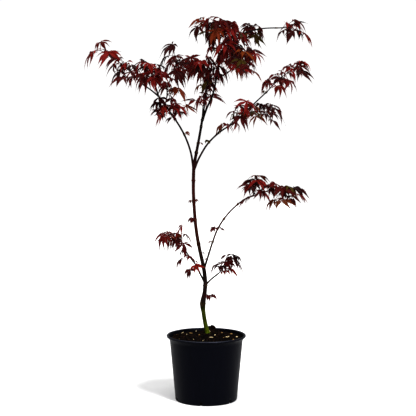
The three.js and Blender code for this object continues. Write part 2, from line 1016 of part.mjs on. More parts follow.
// What is already there, so that no leaf or twig touches a limb or another mass.
class Room {
  constructor(limbs) {
    this.limbPoints = [];
    for (const limb of limbs.values()) {
      for (let k = 0; k <= limb.samples; k++) {
        const share = k / limb.samples;
        this.limbPoints.push({ point: limb.curve(share), radius: limb.radius(share) });
      }
    }
    this.stems = MASSES.map((mass) => {
      const { curve } = stemOf(mass, limbs);
      return Array.from({ length: STEM_SAMPLES + 1 }, (_, k) => curve(k / STEM_SAMPLES));
    });
    this.taken = MASSES.map(() => []);
  }

  isFree(points, index, ownClearance, limbClearance) {
    const touches = (others, clearance) =>
      points.some((a) => others.some((b) => a.distanceToSquared(b) < clearance * clearance));
    if (points.some((a) => this.limbPoints.some((limb) =>
      a.distanceTo(limb.point) - limb.radius < limbClearance))) return false;
    return MASSES.every((_, other) => {
      if (other === index) return !touches(this.taken[index], ownClearance);
      return !touches(this.stems[other], CLEAR_STEM) && !touches(this.taken[other], CLEAR_OTHER);
    });
  }

  take(points, index) {
    this.taken[index].push(...points);
  }
}

// A mass's stem: it starts just past its limb's tip, or at the middle of its limb.
function stemOf(mass, limbs) {
  const { curve: limb } = limbs.get(mass.limb);
  const start = limb(mass.at);
  if (mass.at >= 1) start.addScaledVector(heading(limb, 1), GAP);
  return { curve: bowed(start, vector(...mass.tip), vector(...mass.bow)) };
}

// One mass: from its stem grow opposite pairs of leaves, or of short twigs that end in leaves.
function growMass(mass, index, limbs, room) {
  const draw = seeded(mass.seed);
  const { curve } = stemOf(mass, limbs);
  const core = [];
  for (let k = 0; k <= REACH_SAMPLES; k++) {
    core.push(curve(k / REACH_SAMPLES).add(vector(0, 0, -CORE_DROP)));
  }
  const within = (points) => points.every((a) => core.some((b) => a.distanceTo(b) <= mass.reach));
  const twigs = [];
  const leaves = [];

  const tryLeaf = (root, lead, along) => {
    for (let attempt = 0; attempt < TRIES; attempt++) {
      const out = lead.clone().addScaledVector(along, 0.3 + 0.6 * draw()).normalize();
      const size = mass.leaf * (0.86 + 0.28 * draw());
      const leaf = leafAt(draw, root, out, size, mass.droop);
      const points = leafPoints(leaf);
      if (within(points) && room.isFree(points, index, CLEAR_OWN, CLEAR_BOUGH)) {
        room.take(points, index);
        leaves.push(leaf);
        return;
      }
    }
  };

  const tryTwig = (root, ahead, lead, share) => {
    for (let attempt = 0; attempt < TRIES; attempt++) {
      const out = lead.clone().addScaledVector(ahead, 0.5 + 0.5 * draw()).normalize();
      const length = mass.twig * (0.7 + 0.6 * draw()) * (1.15 - 0.5 * share);
      const tip = root.clone().addScaledVector(out, length);
      const twig = bowed(root, tip, vector(...TWIG_BOW));
      const points = [twig(0.4), twig(0.7), tip];
      if (within(points) && room.isFree(points, index, 0, CLEAR_TWIG)) {
        room.take(points, index);
        twigs.push(twig);
        const along = heading(twig, 1);
        const { flat, rise } = across(along);
        const turn = draw() * Math.PI;
        const outwards = flat.multiplyScalar(Math.cos(turn)).addScaledVector(rise, Math.sin(turn));
        tryLeaf(tip, outwards, along);
        tryLeaf(tip, outwards.clone().negate(), along);
        return true;
      }
    }
    return false;
  };

  const firstTurn = draw() * Math.PI;
  mass.nodes.forEach((share, k) => {
    const root = curve(share);
    const ahead = heading(curve, share);
    const { flat, rise } = across(ahead);
    for (const sign of [1, -1]) {
      const turn = firstTurn + (k * Math.PI) / 2 + (draw() - 0.5) * 0.5;
      const lead = flat.clone().multiplyScalar(Math.cos(turn)).addScaledVector(rise, Math.sin(turn));
      lead.multiplyScalar(sign);
      const forks = mass.twig > 0 && share < 0.98 && draw() < mass.forks;
      if (!(forks && tryTwig(root, ahead, lead, share))) tryLeaf(root, lead, ahead);
    }
  });
  const last = vector(draw() - 0.5, draw() - 0.5, draw() - 0.5);
  tryLeaf(curve(1), last, heading(curve, 1));
  return { curve, twigs, leaves };
}

// A mass's stem, twigs and leaves joined in one solid, clear of the limbs.
function massSolid({ curve, twigs, leaves }, limbRooms) {
  const stem = carriedOn(curve, ROOT_SINK, STEM_STEPS);
  let solid = solidOf(tube(stem, tapered(STEM_RADII), STEM_STEPS, TWIG_SIDES));
  for (const twig of twigs) {
    const rooting = carriedOn(twig, ROOT_SINK, TWIG_STEPS);
    solid = solid.add(solidOf(tube(rooting, tapered(TWIG_RADII), TWIG_STEPS, TWIG_SIDES)));
  }
  for (const leaf of leaves) solid = solid.add(leafSolid(leaf));
  for (const room of limbRooms) solid = solid.subtract(room);
  return mainBody(solid);
}

const group = new THREE.Group();

// Adds one named piece with a finish of its own.
function addPiece(name, geometry, finish) {
  const mesh = new THREE.Mesh(geometry, new THREE.MeshStandardMaterial(finish));
  mesh.name = name;
  group.add(mesh);
}

addPiece("pot", potGeometry(), POT_FINISH);
addPiece("compost", compostGeometry(), COMPOST_FINISH);

const limbs = limbCurves();
const ground = new THREE.BoxGeometry(GROUND_CUT, GROUND_CUT, GROUND_CUT);
ground.translate(0, 0, COMPOST_CROWN + GAP - GROUND_CUT / 2);
const limbRooms = [solidOf(ground)];
for (const limb of limbs.values()) {
  let solid = limbSolid(limb, 0);
  for (const room of limbRooms) solid = solid.subtract(room);
  addPiece(limb.name, geometryOf(mainBody(solid)), BARK_FINISH);
  limbRooms.push(limbSolid(limb, GAP));
}

const room = new Room(limbs);
MASSES.forEach((mass, index) => {
  const grown = growMass(mass, index, limbs, room);
  addPiece(mass.name, geometryOf(massSolid(grown, limbRooms)), LEAF_FINISHES[mass.finish]);
});

export default group;
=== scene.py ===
"""A young Japanese maple in a nursery pot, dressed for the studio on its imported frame.

The frame is in metres, +Z up, with the camera in front at -Y. The plant's own sizes are named
here in millimetres and turned into metres when a mesh is made.
"""
import math
from collections import namedtuple

import bpy
import numpy as np
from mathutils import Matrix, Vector, noise
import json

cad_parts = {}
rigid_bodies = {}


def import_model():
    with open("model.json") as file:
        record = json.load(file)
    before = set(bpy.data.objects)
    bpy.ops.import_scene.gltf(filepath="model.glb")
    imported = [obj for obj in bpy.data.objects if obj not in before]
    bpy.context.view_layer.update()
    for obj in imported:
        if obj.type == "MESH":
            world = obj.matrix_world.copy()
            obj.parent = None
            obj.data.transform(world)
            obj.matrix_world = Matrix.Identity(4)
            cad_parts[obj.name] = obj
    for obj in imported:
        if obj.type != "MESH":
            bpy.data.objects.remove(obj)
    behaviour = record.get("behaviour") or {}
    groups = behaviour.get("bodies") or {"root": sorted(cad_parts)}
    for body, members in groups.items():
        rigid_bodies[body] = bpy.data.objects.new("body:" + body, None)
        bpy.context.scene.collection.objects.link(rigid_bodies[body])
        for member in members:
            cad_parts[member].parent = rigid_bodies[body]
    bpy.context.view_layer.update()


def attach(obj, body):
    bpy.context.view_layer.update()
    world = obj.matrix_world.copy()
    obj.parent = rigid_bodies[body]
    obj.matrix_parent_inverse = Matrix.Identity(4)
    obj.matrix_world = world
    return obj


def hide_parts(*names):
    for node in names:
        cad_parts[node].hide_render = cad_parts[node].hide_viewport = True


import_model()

MM = 0.001
UP = np.array([0.0, 0.0, 1.0])
# The random numbers' largest state, and what is added to it each time
WORD = 0xFFFFFFFF
SEED_STEP = 0x6D2B79F5

# Camera: its distance, height and tilt, and its lens on a 36 mm wide sensor
CAMERA_AT = (0.0042, -2.9, 0.70)
CAMERA_TILT = 4.72
CAMERA_LENS = 106.15
SENSOR_WIDTH = 36

# Studio: how bright the walls and the ceiling are and where one ends and the other starts, as
# the height of a direction of length one; the photograph's contrast; and each light's place,
# how many degrees wide it is, and its power
WALL_LIGHT = 1.05
WALL_TOP = 0.1
CEILING_LIGHT = 0.12
CEILING_START = 0.2
PHOTO_GAMMA = 0.8
FLOOR_HALF = 6000
LIGHTS = [
    ("top_light", (-0.4, -0.5, 3.0), 60, 3.4),
    ("key_light", (1.2, -1.8, 2.4), 14, 4.2),
]
LIGHTS_AIM = (0, 0, 0.5)

# Pot
POT_HEIGHT = 157
POT_RIM_RADIUS = 95
POT_NECK_RADIUS = 86.8
POT_NECK_HEIGHT = 140
POT_BASE_RADIUS = 73.9
POT_FOOT_BEVEL = 3
POT_WALL = 1.6
POT_FLOOR = 3
LIP_ROUND = 2.8
DRAIN_COUNT = 6
DRAIN_WIDTH = 6.5
DRAIN_HEIGHT = 9
DRAIN_DEPTH = 20
DRAIN_TURN = -0.17
POT_SIDES = 144
POT_BEVEL_STEPS = 5
POT_WALL_RINGS = 12
POT_NECK_RINGS = 7
POT_LIP_STEPS = 12
WELD_DISTANCE = 1e-5
# How sharply the neck flares, and how far the inner shoulder stands out of it and over it
NECK_FLARE = 2.2
INNER_SHOULDER = (1.2, 3)
# The wall's colour; the rim's, which is lighter than the wall's as a painted highlight along the
# top of the rim; and the height from which the rim has its own colour and gloss
WALL_COLOR = (0.0013, 0.0014, 0.0034)
RIM_HIGHLIGHT_COLOR = (0.0060, 0.0064, 0.0100)
RIM_GLOSS_AND_HIGHLIGHT_FROM = 154.5

# Compost: its height at the wall and at the trunk, the heap at the back, the top of the bed's
# side, the gap that it leaves to the pot's wall, and how far its surface runs on over it
COMPOST_EDGE = 149.5
COMPOST_CROWN = 157.2
HEAP_AT = (14, 66)
HEAP_HEIGHT = 9
HEAP_SPREAD = 13
BED_SIDE_TOP = 139
BED_GAP = 0.4
BED_OVERLAP = 1
COMPOST_RINGS = 44
COMPOST_SECTORS = 132
# The surface's waves: their height, fineness and layer of noise; and how far they start lower
WAVES = [(1.3, 0.11, 3), (0.9, 0.35, 7)]
WAVE_DROP = 1
# Crumbs: how many lie on the bed and on the heap and how far out, their smallest size and how
# much larger they come, their length and height to their size, how far they turn and tilt, how
# high they stand, and how far the heap's are lifted
CRUMB_COUNT = 1500
HEAP_CRUMBS = 110
CRUMB_REACH = 81
HEAP_CRUMB_REACH = (8, 5)
CRUMB_SIZE = 1.5
CRUMB_GROWTH = 5.5
CRUMB_LENGTH = 1.4
CRUMB_HEIGHT = 0.6
CRUMB_TURN = 6.28
CRUMB_TILT = 1.2
CRUMB_STAND = 0.12
HEAP_LIFT = 5
CRUMB_SEED = 5
# A crumb's sides, the height and the reach of its rings, and how its corners vary: the least
# reach and how much more chance adds, and how far they shift round
CRUMB_SIDES = 6
CRUMB_RINGS = [(-1, 0.05), (-0.6, 0.85), (0.1, 1), (0.7, 0.7), (1, 0.05)]
CRUMB_VARIES = (0.75, 0.4)
CRUMB_SHIFT = 0.3
# Pale chips: their place, length, width and turn
PALE_CHIPS = [
    (-36, 24, 13, 6, 0.25), (-17, -8, 7, 4, 0.9), (12, -33, 10, 6, 0.1), (21, -7, 9, 6, 1.4),
    (50, -21, 10, 6, 0.3), (42, -27, 9, 6, 2.6), (58, 22, 12, 6, -0.3), (73, -5, 8, 6, 1.0),
    (-62, -32, 8, 4, 0.2), (15, 78, 9, 5, 0.5), (-47, 10, 6, 4, 1.9), (39, 31, 9, 5, 0.1),
    (-58, 52, 7, 4, 0.4), (30, 12, 6, 4, 2.2), (-7, -58, 6, 4, 0.7), (64, -38, 6, 4, 1.2),
    (-30, -46, 5, 3, 1.7), (8, 48, 7, 4, 2.9), (-72, 18, 6, 4, 0.6), (-24, 70, 7, 4, 2.4),
]
# How slim and thick the chips are, how high they lie, and how far they tilt and lean
CHIP_SLIM = 0.75
CHIP_THICKNESS = 2.2
CHIP_STAND = 1.3
CHIP_TILT = 0.7
CHIP_LEAN = 0.5
# Materials of the compost: the darkest and the lightest brown of each
BED_BROWNS = [("compost_dark", (0.001, 0.0008, 0.0006), (0.005, 0.003, 0.002))]
CRUMB_BROWNS = [
    ("crumb_black", (0.0005, 0.0004, 0.0004), (0.0025, 0.0018, 0.0015)),
    ("crumb_brown", (0.0010, 0.0006, 0.0005), (0.0080, 0.0042, 0.0026)),
    ("crumb_umber", (0.0018, 0.0009, 0.0006), (0.0200, 0.0085, 0.0045)),
]
CHIP_BROWNS = [
    ("chip_tan", (0.20, 0.11, 0.035), (0.55, 0.34, 0.13)),
    ("chip_cream", (0.36, 0.26, 0.12), (0.80, 0.66, 0.40)),
]

# Trunk: x, y, z and radius of its stations, from below the compost's surface to the fork
TRUNK = [
    (4.8, 14.4, 149, 5.3),
    (-2.5, 13, 182.4, 4.6),
    (-6.4, 12, 206.8, 4.5),
    (-8.3, 10, 229.9, 6.2),
    (-3.9, 9, 256.9, 4.7),
    (-2.5, 7.5, 284.9, 4.4),
    (-6.8, 5.5, 320, 4.0),
    (-16.0, 3, 362.3, 3.7),
    (-23.4, 0, 405.7, 3.5),
    (-27.8, -2, 451.2, 3.4),
    (-30.4, -2, 503.5, 3.3),
    (-29.6, 0, 559.1, 3.5),
]
ROOT_FLARE = 2.4
FLARE_FADE = 8

# Boughs: the parent, the share of the parent's length where it starts, the stations after that
# start, and the radii at its root and tip
Bough = namedtuple("Bough", "name parent at route radii")
BOUGHS = [
    Bough("leader", "trunk", 1,
          [(-22.8, 0.9, 594.5), (-15.9, 3.6, 631), (-9.5, 8, 668.7)], (2.9, 2.3)),
    Bough("leader_left", "leader", 0.985,
          [(-5.3, 24, 697), (-0.1, 40, 736.2), (8, 56, 777)], (1.7, 1.2)),
    Bough("leader_right", "leader", 0.985,
          [(1.4, -5.4, 697), (15, -17.4, 727.3), (23.3, -28.2, 764.3), (27.9, -37.8, 803.3),
           (29.6, -46, 837.5)], (2.0, 1.2)),
    Bough("left_bough", "trunk", 0.988,
          [(-37.2, -12.8, 596.2), (-53.8, -28, 639.7), (-81.6, -45.8, 685),
           (-111.8, -66, 726.9)], (1.9, 1.3)),
    Bough("left_upper", "left_bough", 0.985,
          [(-116.5, -71, 747.4), (-120.4, -76, 763.3)], (1.1, 0.9)),
    Bough("left_outer", "left_bough", 0.985,
          [(-128.1, -59, 738.9), (-149.4, -52, 753.2)], (1.1, 0.9)),
    Bough("right_bough", "trunk", 0.984,
          [(-15.7, 13.1, 581), (4.7, 27.1, 613.3), (33.9, 42, 640.6), (71.6, 57.8, 665.3),
           (108.1, 74.4, 700.3), (148.7, 92, 737.6)], (1.9, 1.0)),
    Bough("crown_right", "leader_right", 0.6,
          [(40.3, -42.5, 773.2), (60.6, -60, 786.1)], (1.1, 0.9)),
    Bough("crown_back", "leader_right", 0.82,
          [(44.3, 11, 819.6), (66.5, 60, 825.9)], (1.1, 0.9)),
    Bough("top_right", "leader_right", 0.985,
          [(52.9, -31.5, 854.3), (88.1, -17, 870.8), (130.7, -2.5, 882.3),
           (178.4, 12, 885.1)], (1.3, 0.8)),
    Bough("low_left", "trunk", 0.435,
          [(-13.4, -7.2, 302.3), (-25.6, -21.5, 328.6), (-40.9, -35.8, 351.2),
           (-54.2, -50, 374.4)], (1.5, 0.9)),
    Bough("low_right", "trunk", 0.42,
          [(10.4, 21.5, 285.8), (30.7, 36, 300.3)], (1.4, 0.9)),
    Bough("long_right", "trunk", 0.528,
          [(4.2, -6.7, 345.3), (14.6, -19.3, 379.7), (28.6, -32, 417), (54.2, -44.7, 454.4),
           (86.5, -57.3, 483.5), (121, -70, 499.8)], (1.7, 1.0)),
]

# Nodes on the limbs, as shares of their length, and how much each swells
NODES = {
    "trunk": [(0.274, 0.8), (0.419, 0.9), (0.545, 1.0), (0.662, 0.7), (0.781, 0.7), (0.864, 0.6),
              (0.945, 0.5)],
    "leader": [(0.06, 0.8), (0.309, 1.3), (0.501, 0.5), (0.86, 0.6)],
    "leader_left": [(0.02, 0.6), (0.45, 0.5), (0.8, 0.5)],
    "leader_right": [(0.02, 0.5), (0.338, 0.6), (0.6, 0.6), (0.82, 0.5)],
    "left_bough": [(0.475, 0.6), (0.71, 0.5), (0.97, 0.5)],
    "right_bough": [(0.345, 0.6), (0.48, 0.4), (0.633, 0.5), (0.8, 0.4), (0.985, 0.7)],
    "top_right": [(0.35, 0.4), (0.7, 0.5), (0.925, 0.5)],
    "low_left": [(0.3, 0.4), (0.615, 0.5), (0.895, 0.4)],
    "low_right": [(0.86, 0.5)],
    "long_right": [(0.2, 0.3), (0.343, 0.7), (0.49, 0.9), (0.591, 1.1), (0.766, 0.9), (0.932, 0.6)],
    "crown_right": [(0.5, 0.4)],
    "crown_back": [(0.5, 0.4)],
}
# How far a node's swelling reaches along its limb; and the collar at a bough's foot: how much
# it adds to the radius and how far it reaches
NODE_LENGTH = 2.6
COLLAR_SWELL = 0.5
COLLAR_LENGTH = 16
# Bark: how thick it lies on the limbs, how deep its relief is, and how fine round and along
BARK_THICKNESS = 0.5
RELIEF_SHARE = 0.05
RELIEF_ROUND = 4
RELIEF_ACROSS = 0.05
RELIEF_ALONG = 0.12
TRUNK_SIDES = 28
BOUGH_SIDES = 14
RING_SPACING = 1.6
# Corky scars of the graft: their place, width and height
GRAFT_SCARS = [(-12.6, 7.2, 231, 6, 8), (-10.5, 3.8, 226.5, 5, 7), (-12.2, 6.4, 237, 4, 6)]
SCAR_SEED = 9
# Stems and twigs: their radii at root and tip, and the swelling at each pair of leaves
STEM_RADII = (1.15, 0.7)
TWIG_RADII = (0.8, 0.55)
TWIG_NODE_SWELL = 0.35
TWIG_NODE_LENGTH = 0.03
STEM_RINGS = 40
TWIG_RINGS = 10
TWIG_SIDES = 8
# How far a tube's rounded ends stand out, to its radius
TUBE_END = 0.8
# Buds at the limbs' nodes: their length and thickness, how deep they root, how they lean and
# bow, and their outline
BUD_LENGTH = 3.4
BUD_RADIUS = 1.0
BUD_ROOT = 0.75
BUD_LEAN = 0.9
BUD_BOW = 0.5
BUD_OUTLINE = ((0, 0.35, 0.7, 1), (0.6, 1, 0.7, 0.08))
BUD_RINGS = 9
BUD_SIDES = 8

# Masses of foliage: the limb and the share of its length where the stem starts, the stem's tip
# and bow, the shares of the stem that carry a pair, the length of its side twigs and how often a
# pair is twigs, the leaf's length, how far its blade leans down, how far the mass reaches from
# its stem, the seed of its random numbers, and its tint
Mass = namedtuple("Mass", "name limb at tip bow nodes twig forks leaf droop reach seed tint")
MASSES = [
    Mass("low_left_inner", "low_left", 0.33, (-25, -21, 318), (0, 0, 2),
         (1,), 0, 0, 28, 0.9, 46, 70, "crimson"),
    Mass("low_left_outer", "low_left", 0.8, (-51, -66, 360), (0, 0, 1),
         (1,), 0, 0, 25, 0.75, 44, 6, "crimson"),
    Mass("low_left_leaves", "low_left", 1, (-83, -62, 400), (-1, 0, 5),
         (0.25, 0.62, 1), 20, 0.75, 38, 0.9, 62, 120, "maroon"),
    Mass("low_right_leaves", "low_right", 1, (57, 70, 325), (0, 0, 3),
         (0.25, 0.65, 1), 18, 0.6, 32, 0.45, 52, 31, "crimson"),
    Mass("mid_right_inner", "long_right", 0.94, (119, -44, 515), (0, 0, 3),
         (0.5, 1), 18, 0.6, 40, 0.3, 60, 255, "maroon"),
    Mass("mid_right_leaves", "long_right", 1, (186, -122, 503), (4, 0, 8),
         (0.25, 0.5, 0.75, 1), 22, 0.7, 37, 0.45, 62, 392, "bronze"),
    Mass("right_sprig", "right_bough", 0.4, (38, 36, 649), (0, 0, 1),
         (1,), 0, 0, 30, 0.75, 46, 162, "olive"),
    Mass("right_lower", "right_bough", 0.585, (95, 41, 690), (0, 0, 4),
         (0.4, 1), 18, 0.75, 36, 0.6, 62, 258, "bronze"),
    Mass("right_middle", "right_bough", 0.76, (147, 108, 684), (0, 0, 4),
         (0.35, 0.7, 1), 16, 0.6, 38, 0.3, 62, 58, "bronze"),
    Mass("right_tip", "right_bough", 1, (222, 135, 797), (-2, 0, 4),
         (0.1, 0.42, 0.72, 1), 20, 0.6, 35, 0.45, 60, 292, "crimson"),
    Mass("left_top", "left_upper", 1, (-117, -117, 775), (0, 0, 4),
         (0.2, 0.5, 0.8, 1), 22, 0.6, 36, 0.6, 62, 72, "crimson"),
    Mass("far_left_leaves", "left_outer", 1, (-245, -38, 830), (2, 0, 6),
         (0.12, 0.3, 0.5, 0.7, 1), 22, 0.6, 38, 0.45, 60, 240, "crimson"),
    Mass("left_low", "left_bough", 0.66, (-108, -91, 700), (0, 0, 4),
         (0.5, 1), 14, 0.4, 34, 0.45, 60, 173, "crimson"),
    Mass("left_inner", "left_bough", 0.68, (-69, -34, 694), (0, 0, 4),
         (0.6, 1), 14, 0.4, 33, 0.3, 58, 214, "maroon"),
    Mass("left_mid", "left_bough", 0.86, (-78, -120, 779), (0, 0, 3),
         (0.3, 0.65, 1), 18, 0.6, 36, 0.75, 60, 689, "maroon"),
    Mass("fork_left", "leader", 0.96, (-8, -4, 702), (0, 0, 2),
         (1,), 0, 0, 38, 0.3, 56, 254, "maroon"),
    Mass("leader_mid", "leader_left", 0.42, (2, 85, 773), (0, 0, 1),
         (0.6, 1), 14, 0.5, 34, 0.9, 58, 235, "bronze"),
    Mass("crown_left", "leader_left", 1, (-74, 127, 809), (-4, 0, 9),
         (0.15, 0.38, 0.6, 0.8, 1), 24, 0.7, 38, 0.75, 66, 257, "crimson"),
    Mass("crown_low", "leader_right", 0.47, (1, -66, 795), (0, 0, 5),
         (0.4, 1), 20, 0.7, 38, 0.45, 62, 138, "maroon"),
    Mass("crown_front", "leader_right", 0.72, (55, -83, 828), (0, 0, 4),
         (0.4, 0.7, 1), 22, 0.7, 41, 0.75, 64, 355, "bronze"),
    Mass("crown_east", "crown_right", 1, (96, -112, 797), (0, 0, 6),
         (0.2, 0.6, 1), 24, 0.75, 38, 0.3, 66, 104, "bronze"),
    Mass("crown_back_leaves", "crown_back", 1, (92, 134, 825), (0, 0, 6),
         (0.2, 0.6, 1), 24, 0.7, 41, 0.75, 66, 748, "maroon"),
    Mass("crown_top", "leader_right", 1, (37, -89, 869), (0, 0, 4),
         (0.2, 0.5, 0.8, 1), 24, 0.75, 40, 0.9, 66, 136, "bronze"),
    Mass("crown_top_left", "leader_right", 0.9, (6, -6, 890), (0, 0, 6),
         (0.4, 0.7, 1), 22, 0.7, 36, 0.3, 66, 719, "bronze"),
    Mass("top_inner", "top_right", 0.62, (106, 23, 874), (0, 0, 3),
         (0.5, 1), 14, 0.5, 34, 0.75, 58, 16, "olive"),
    Mass("top_tip", "top_right", 1, (206, 36, 883), (0, 0, 3),
         (0.35, 1), 14, 0.5, 34, 0.45, 60, 94, "crimson"),
    Mass("trunk_sprout", "trunk", 0.715, (-30, -9, 431), (0, 0, 1),
         (1,), 0, 0, 18, 0.75, 30, 68, "maroon"),
    Mass("foot_sprout", "trunk", 0.352, (7, 1, 250), (0, 0, 1),
         (1,), 0, 0, 17, 0.6, 32, 43, "maroon"),
]

# Space round each mass: how far its leaves and twigs stay from what isn't their own
CLEAR_OTHER = 8.5
CLEAR_OWN = 4
CLEAR_BOUGH = 4
CLEAR_TWIG = 2
CLEAR_STEM = 7
# How many samples stand for the trunk, a bough, a stem and a reach, and measure a curve; the
# step that gives its heading, and the level part below which a heading counts as upright
TRUNK_SAMPLES = 90
BOUGH_SAMPLES = 40
STEM_SAMPLES = 16
REACH_SAMPLES = 10
LENGTH_SAMPLES = 60
HEADING_STEP = 0.01
UPRIGHT = 0.05
# How far a stem starts from its limb's tip, how far a reach's middle lies below the stem, how
# often a leaf or twig is tried, and how a twig arches
GAP = 0.3
CORE_DROP = 6
TRIES = 8
TWIG_BOW = np.array([0.0, 0.0, 2.0])

# Twigs and leaves as they grow. A pair of numbers is the least, and how much more chance adds.
# How far a leaf and a twig lean along their stem, and their size
LEAF_LEAD = (0.3, 0.6)
LEAF_SIZE = (0.86, 0.28)
TWIG_LEAD = (0.5, 0.5)
TWIG_SIZE = (0.7, 0.6)
# How a twig's length falls along the stem, the last share that carries one, and where a twig's
# room is tested
TWIG_FALL = (1.15, 0.5)
LAST_TWIG = 0.98
TWIG_TESTS = (0.4, 0.7)
# How far the two of a pair turn by chance
PAIR_TURN = 0.5
# The petiole's length and lift, how far the blade swings and leans by chance, how far it sags,
# how far a lobe's angle and length vary, and the level part of a leaf's way below which it
# faces a way by chance
PETIOLE_LENGTH = (0.42, 0.3)
PETIOLE_LIFT = (0.25, 0.25)
BLADE_SWING = 0.9
BLADE_FALL = 0.8
SAG = (0.22, 0.4)
LOBE_VARIES = (0.94, 0.12)
STEEP = 0.15

# The finer round of leaves: the shares of a stem that carry another pair, the share of a twig
# that does, the size of their leaves, and the closer spacing that they keep
FINER_SEED = 7000
FINER_SHARES = (0.1, 0.35, 0.6, 0.85, 0.97)
FINER_TWIG_SHARE = 0.6
FINER_SCALE = 0.72
FINER_OWN = 2.4
FINER_OTHER = 5
FINER_BOUGH = 2.5

# Leaf: the angle of each lobe from the midrib and its length as a share of the leaf's
LOBES = [(0, 1), (38, 0.93), (-38, 0.93), (76, 0.74), (-76, 0.74), (116, 0.4), (-116, 0.4)]
LOBE_SAMPLES = (0.3, 0.55, 0.8, 1)
PETIOLE_SAMPLES = (0.6, 1)

# Lobes: rows along a lobe, places across it, and its half width as a share of its length; how
# late its arch falls and how far its middle rises; its outline; how deep its teeth are and how
# far they lean; how far its edges lift and ripple; and how much it hooks sideways, droops at its
# tip and twists
LOBE_ROWS = 21
ACROSS = np.array([-1, -0.52, -0.09, 0.09, 0.52, 1])
VEIN_COLUMN = 2
HALF_WIDTH = 0.116
ARCH = 2.3
BOW_UP = 0.05
OUTLINE_AT = (0, 0.1, 0.22, 0.36, 0.5, 0.64, 0.78, 0.9, 1)
OUTLINE_WIDTH = (0.3, 0.36, 0.58, 0.9, 1, 0.72, 0.34, 0.13, 0.02)
TOOTH = 0.13
TOOTH_LEAN = 0.5
FOLD = 0.42
RIPPLE = 0.16
RIPPLE_TURNS = 9
HOOK = 0.6
TIP_DROOP = 0.3
DROOP_FROM = 0.5
TWIST = 1.1
PETIOLE_RADII = (0.62, 0.42)
PETIOLE_ARCH = 0.08
PETIOLE_RINGS = 6
PETIOLE_SIDES = 6
# Leaves shorter than this have broader lobes; and how broad the lobes of some masses are
FULL_LEAF = 34
BREADTHS = {"mid_right_leaves": 1.15, "mid_right_inner": 1.1, "foot_sprout": 1.2, "top_tip": 1.25,
            "right_tip": 1.15, "far_left_leaves": 1.15, "low_left_leaves": 0.85,
            "low_right_leaves": 1.15, "low_left_inner": 1.2, "low_left_outer": 1.2,
            "crown_top_left": 1.1, "crown_left": 1.1}

# Leaf tints: the slot, and the blade's and the midrib's colour
TINTS = {
    "crimson": ("leaf_crimson", (0.108, 0.0060, 0.0048), (0.15, 0.012, 0.006)),
    "scarlet": ("leaf_crimson", (0.135, 0.0085, 0.0052), (0.20, 0.020, 0.006)),
    "bronze": ("leaf_bronze", (0.090, 0.0140, 0.0036), (0.15, 0.028, 0.006)),
    "amber": ("leaf_bronze", (0.105, 0.0230, 0.0044), (0.17, 0.042, 0.008)),
    "maroon": ("leaf_maroon", (0.040, 0.0034, 0.0032), (0.07, 0.005, 0.004)),
    "plum": ("leaf_maroon", (0.018, 0.0014, 0.0016), (0.045, 0.004, 0.003)),
    "wine": ("leaf_crimson", (0.064, 0.0042, 0.0042), (0.11, 0.008, 0.005)),
    "olive": ("leaf_olive", (0.040, 0.0250, 0.0040), (0.07, 0.044, 0.008)),
}
# The tints that a mass's leaves are dealt from, by the mass's own tint
DEALS = {
    "crimson": ("crimson", "plum", "wine", "scarlet", "maroon", "crimson", "wine"),
    "bronze": ("bronze", "maroon", "crimson", "wine", "amber", "plum", "olive", "crimson",
               "maroon"),
    "maroon": ("wine", "maroon", "bronze", "plum", "wine", "maroon", "crimson"),
    "olive": ("olive", "maroon", "wine", "bronze", "maroon"),
}
LEAF_MOTTLE = 0.3
# Added to a mass's seed when its leaves' tints are dealt
TINT_SEED = 300

# Bark colours by the share of the height from the compost to above the fork
BARK_ZONES = [
    (0.0, (0.085, 0.120, 0.003)), (0.05, (0.046, 0.066, 0.002)), (0.08, (0.030, 0.042, 0.001)),
    (0.125, (0.034, 0.046, 0.001)), (0.145, (0.014, 0.014, 0.002)), (0.16, (0.034, 0.020, 0.008)),
    (0.175, (0.012, 0.006, 0.005)), (0.2, (0.016, 0.004, 0.004)), (0.22, (0.009, 0.003, 0.002)),
    (0.25, (0.018, 0.009, 0.008)), (0.29, (0.005, 0.003, 0.002)), (0.4, (0.012, 0.005, 0.003)),
    (0.5, (0.030, 0.005, 0.002)), (0.72, (0.030, 0.003, 0.002)), (0.86, (0.010, 0.002, 0.002)),
    (1.0, (0.003, 0.0012, 0.0012)),
]
# The heights between which the zones lie, and the dark and light streaks over them
BARK_FROM = 150
BARK_TO = 650
BARK_STREAKS = [(0.35, (0.35, 0.35, 0.35)), (0.52, (1, 1, 1)), (0.64, (1.2, 1.1, 1.0)),
                (0.74, (2.4, 2.3, 2.2))]

# Small sprouts that stand on the limbs: the limb and the share of its length, the way that they
# face, the length of their leaves, how many there are, and their tint
Sprout = namedtuple("Sprout", "limb at out leaf count tint")
SPROUTS = [
    Sprout("trunk", 0.864, (-1, -0.3, 0.3), 8, 1, "wine"),
    Sprout("trunk", 0.864, (1, -0.3, 0.3), 8, 1, "wine"),
    Sprout("trunk", 0.612, (1, -0.2, 0.7), 7, 1, "maroon"),
    Sprout("left_bough", 0.475, (1, -0.2, 0.2), 10, 2, "bronze"),
    Sprout("right_bough", 0.345, (-0.6, -0.4, 0.8), 10, 2, "olive"),
    Sprout("long_right", 0.12, (-0.4, -0.5, 0.8), 8, 1, "bronze"),
    Sprout("long_right", 0.343, (-1, -0.2, 0.2), 8, 1, "wine"),
    Sprout("long_right", 0.49, (-1, -0.3, 0.3), 14, 3, "wine"),
    Sprout("long_right", 0.49, (1, -0.3, 0.2), 13, 2, "maroon"),
    Sprout("low_left", 0.55, (1, -0.3, 0.3), 9, 1, "wine"),
    Sprout("top_right", 0.40, (0.3, -0.4, 0.8), 13, 2, "olive"),
    Sprout("top_right", 0.46, (0.4, -0.6, -0.3), 12, 2, "olive"),
    Sprout("leader", 0.5, (1, -0.3, 0.2), 8, 1, "bronze"),
    Sprout("right_bough", 0.985, (-0.8, -0.3, 0.6), 9, 1, "olive"),
]
SPROUT_SEED = 40
SPROUT_PETIOLE = 0.6
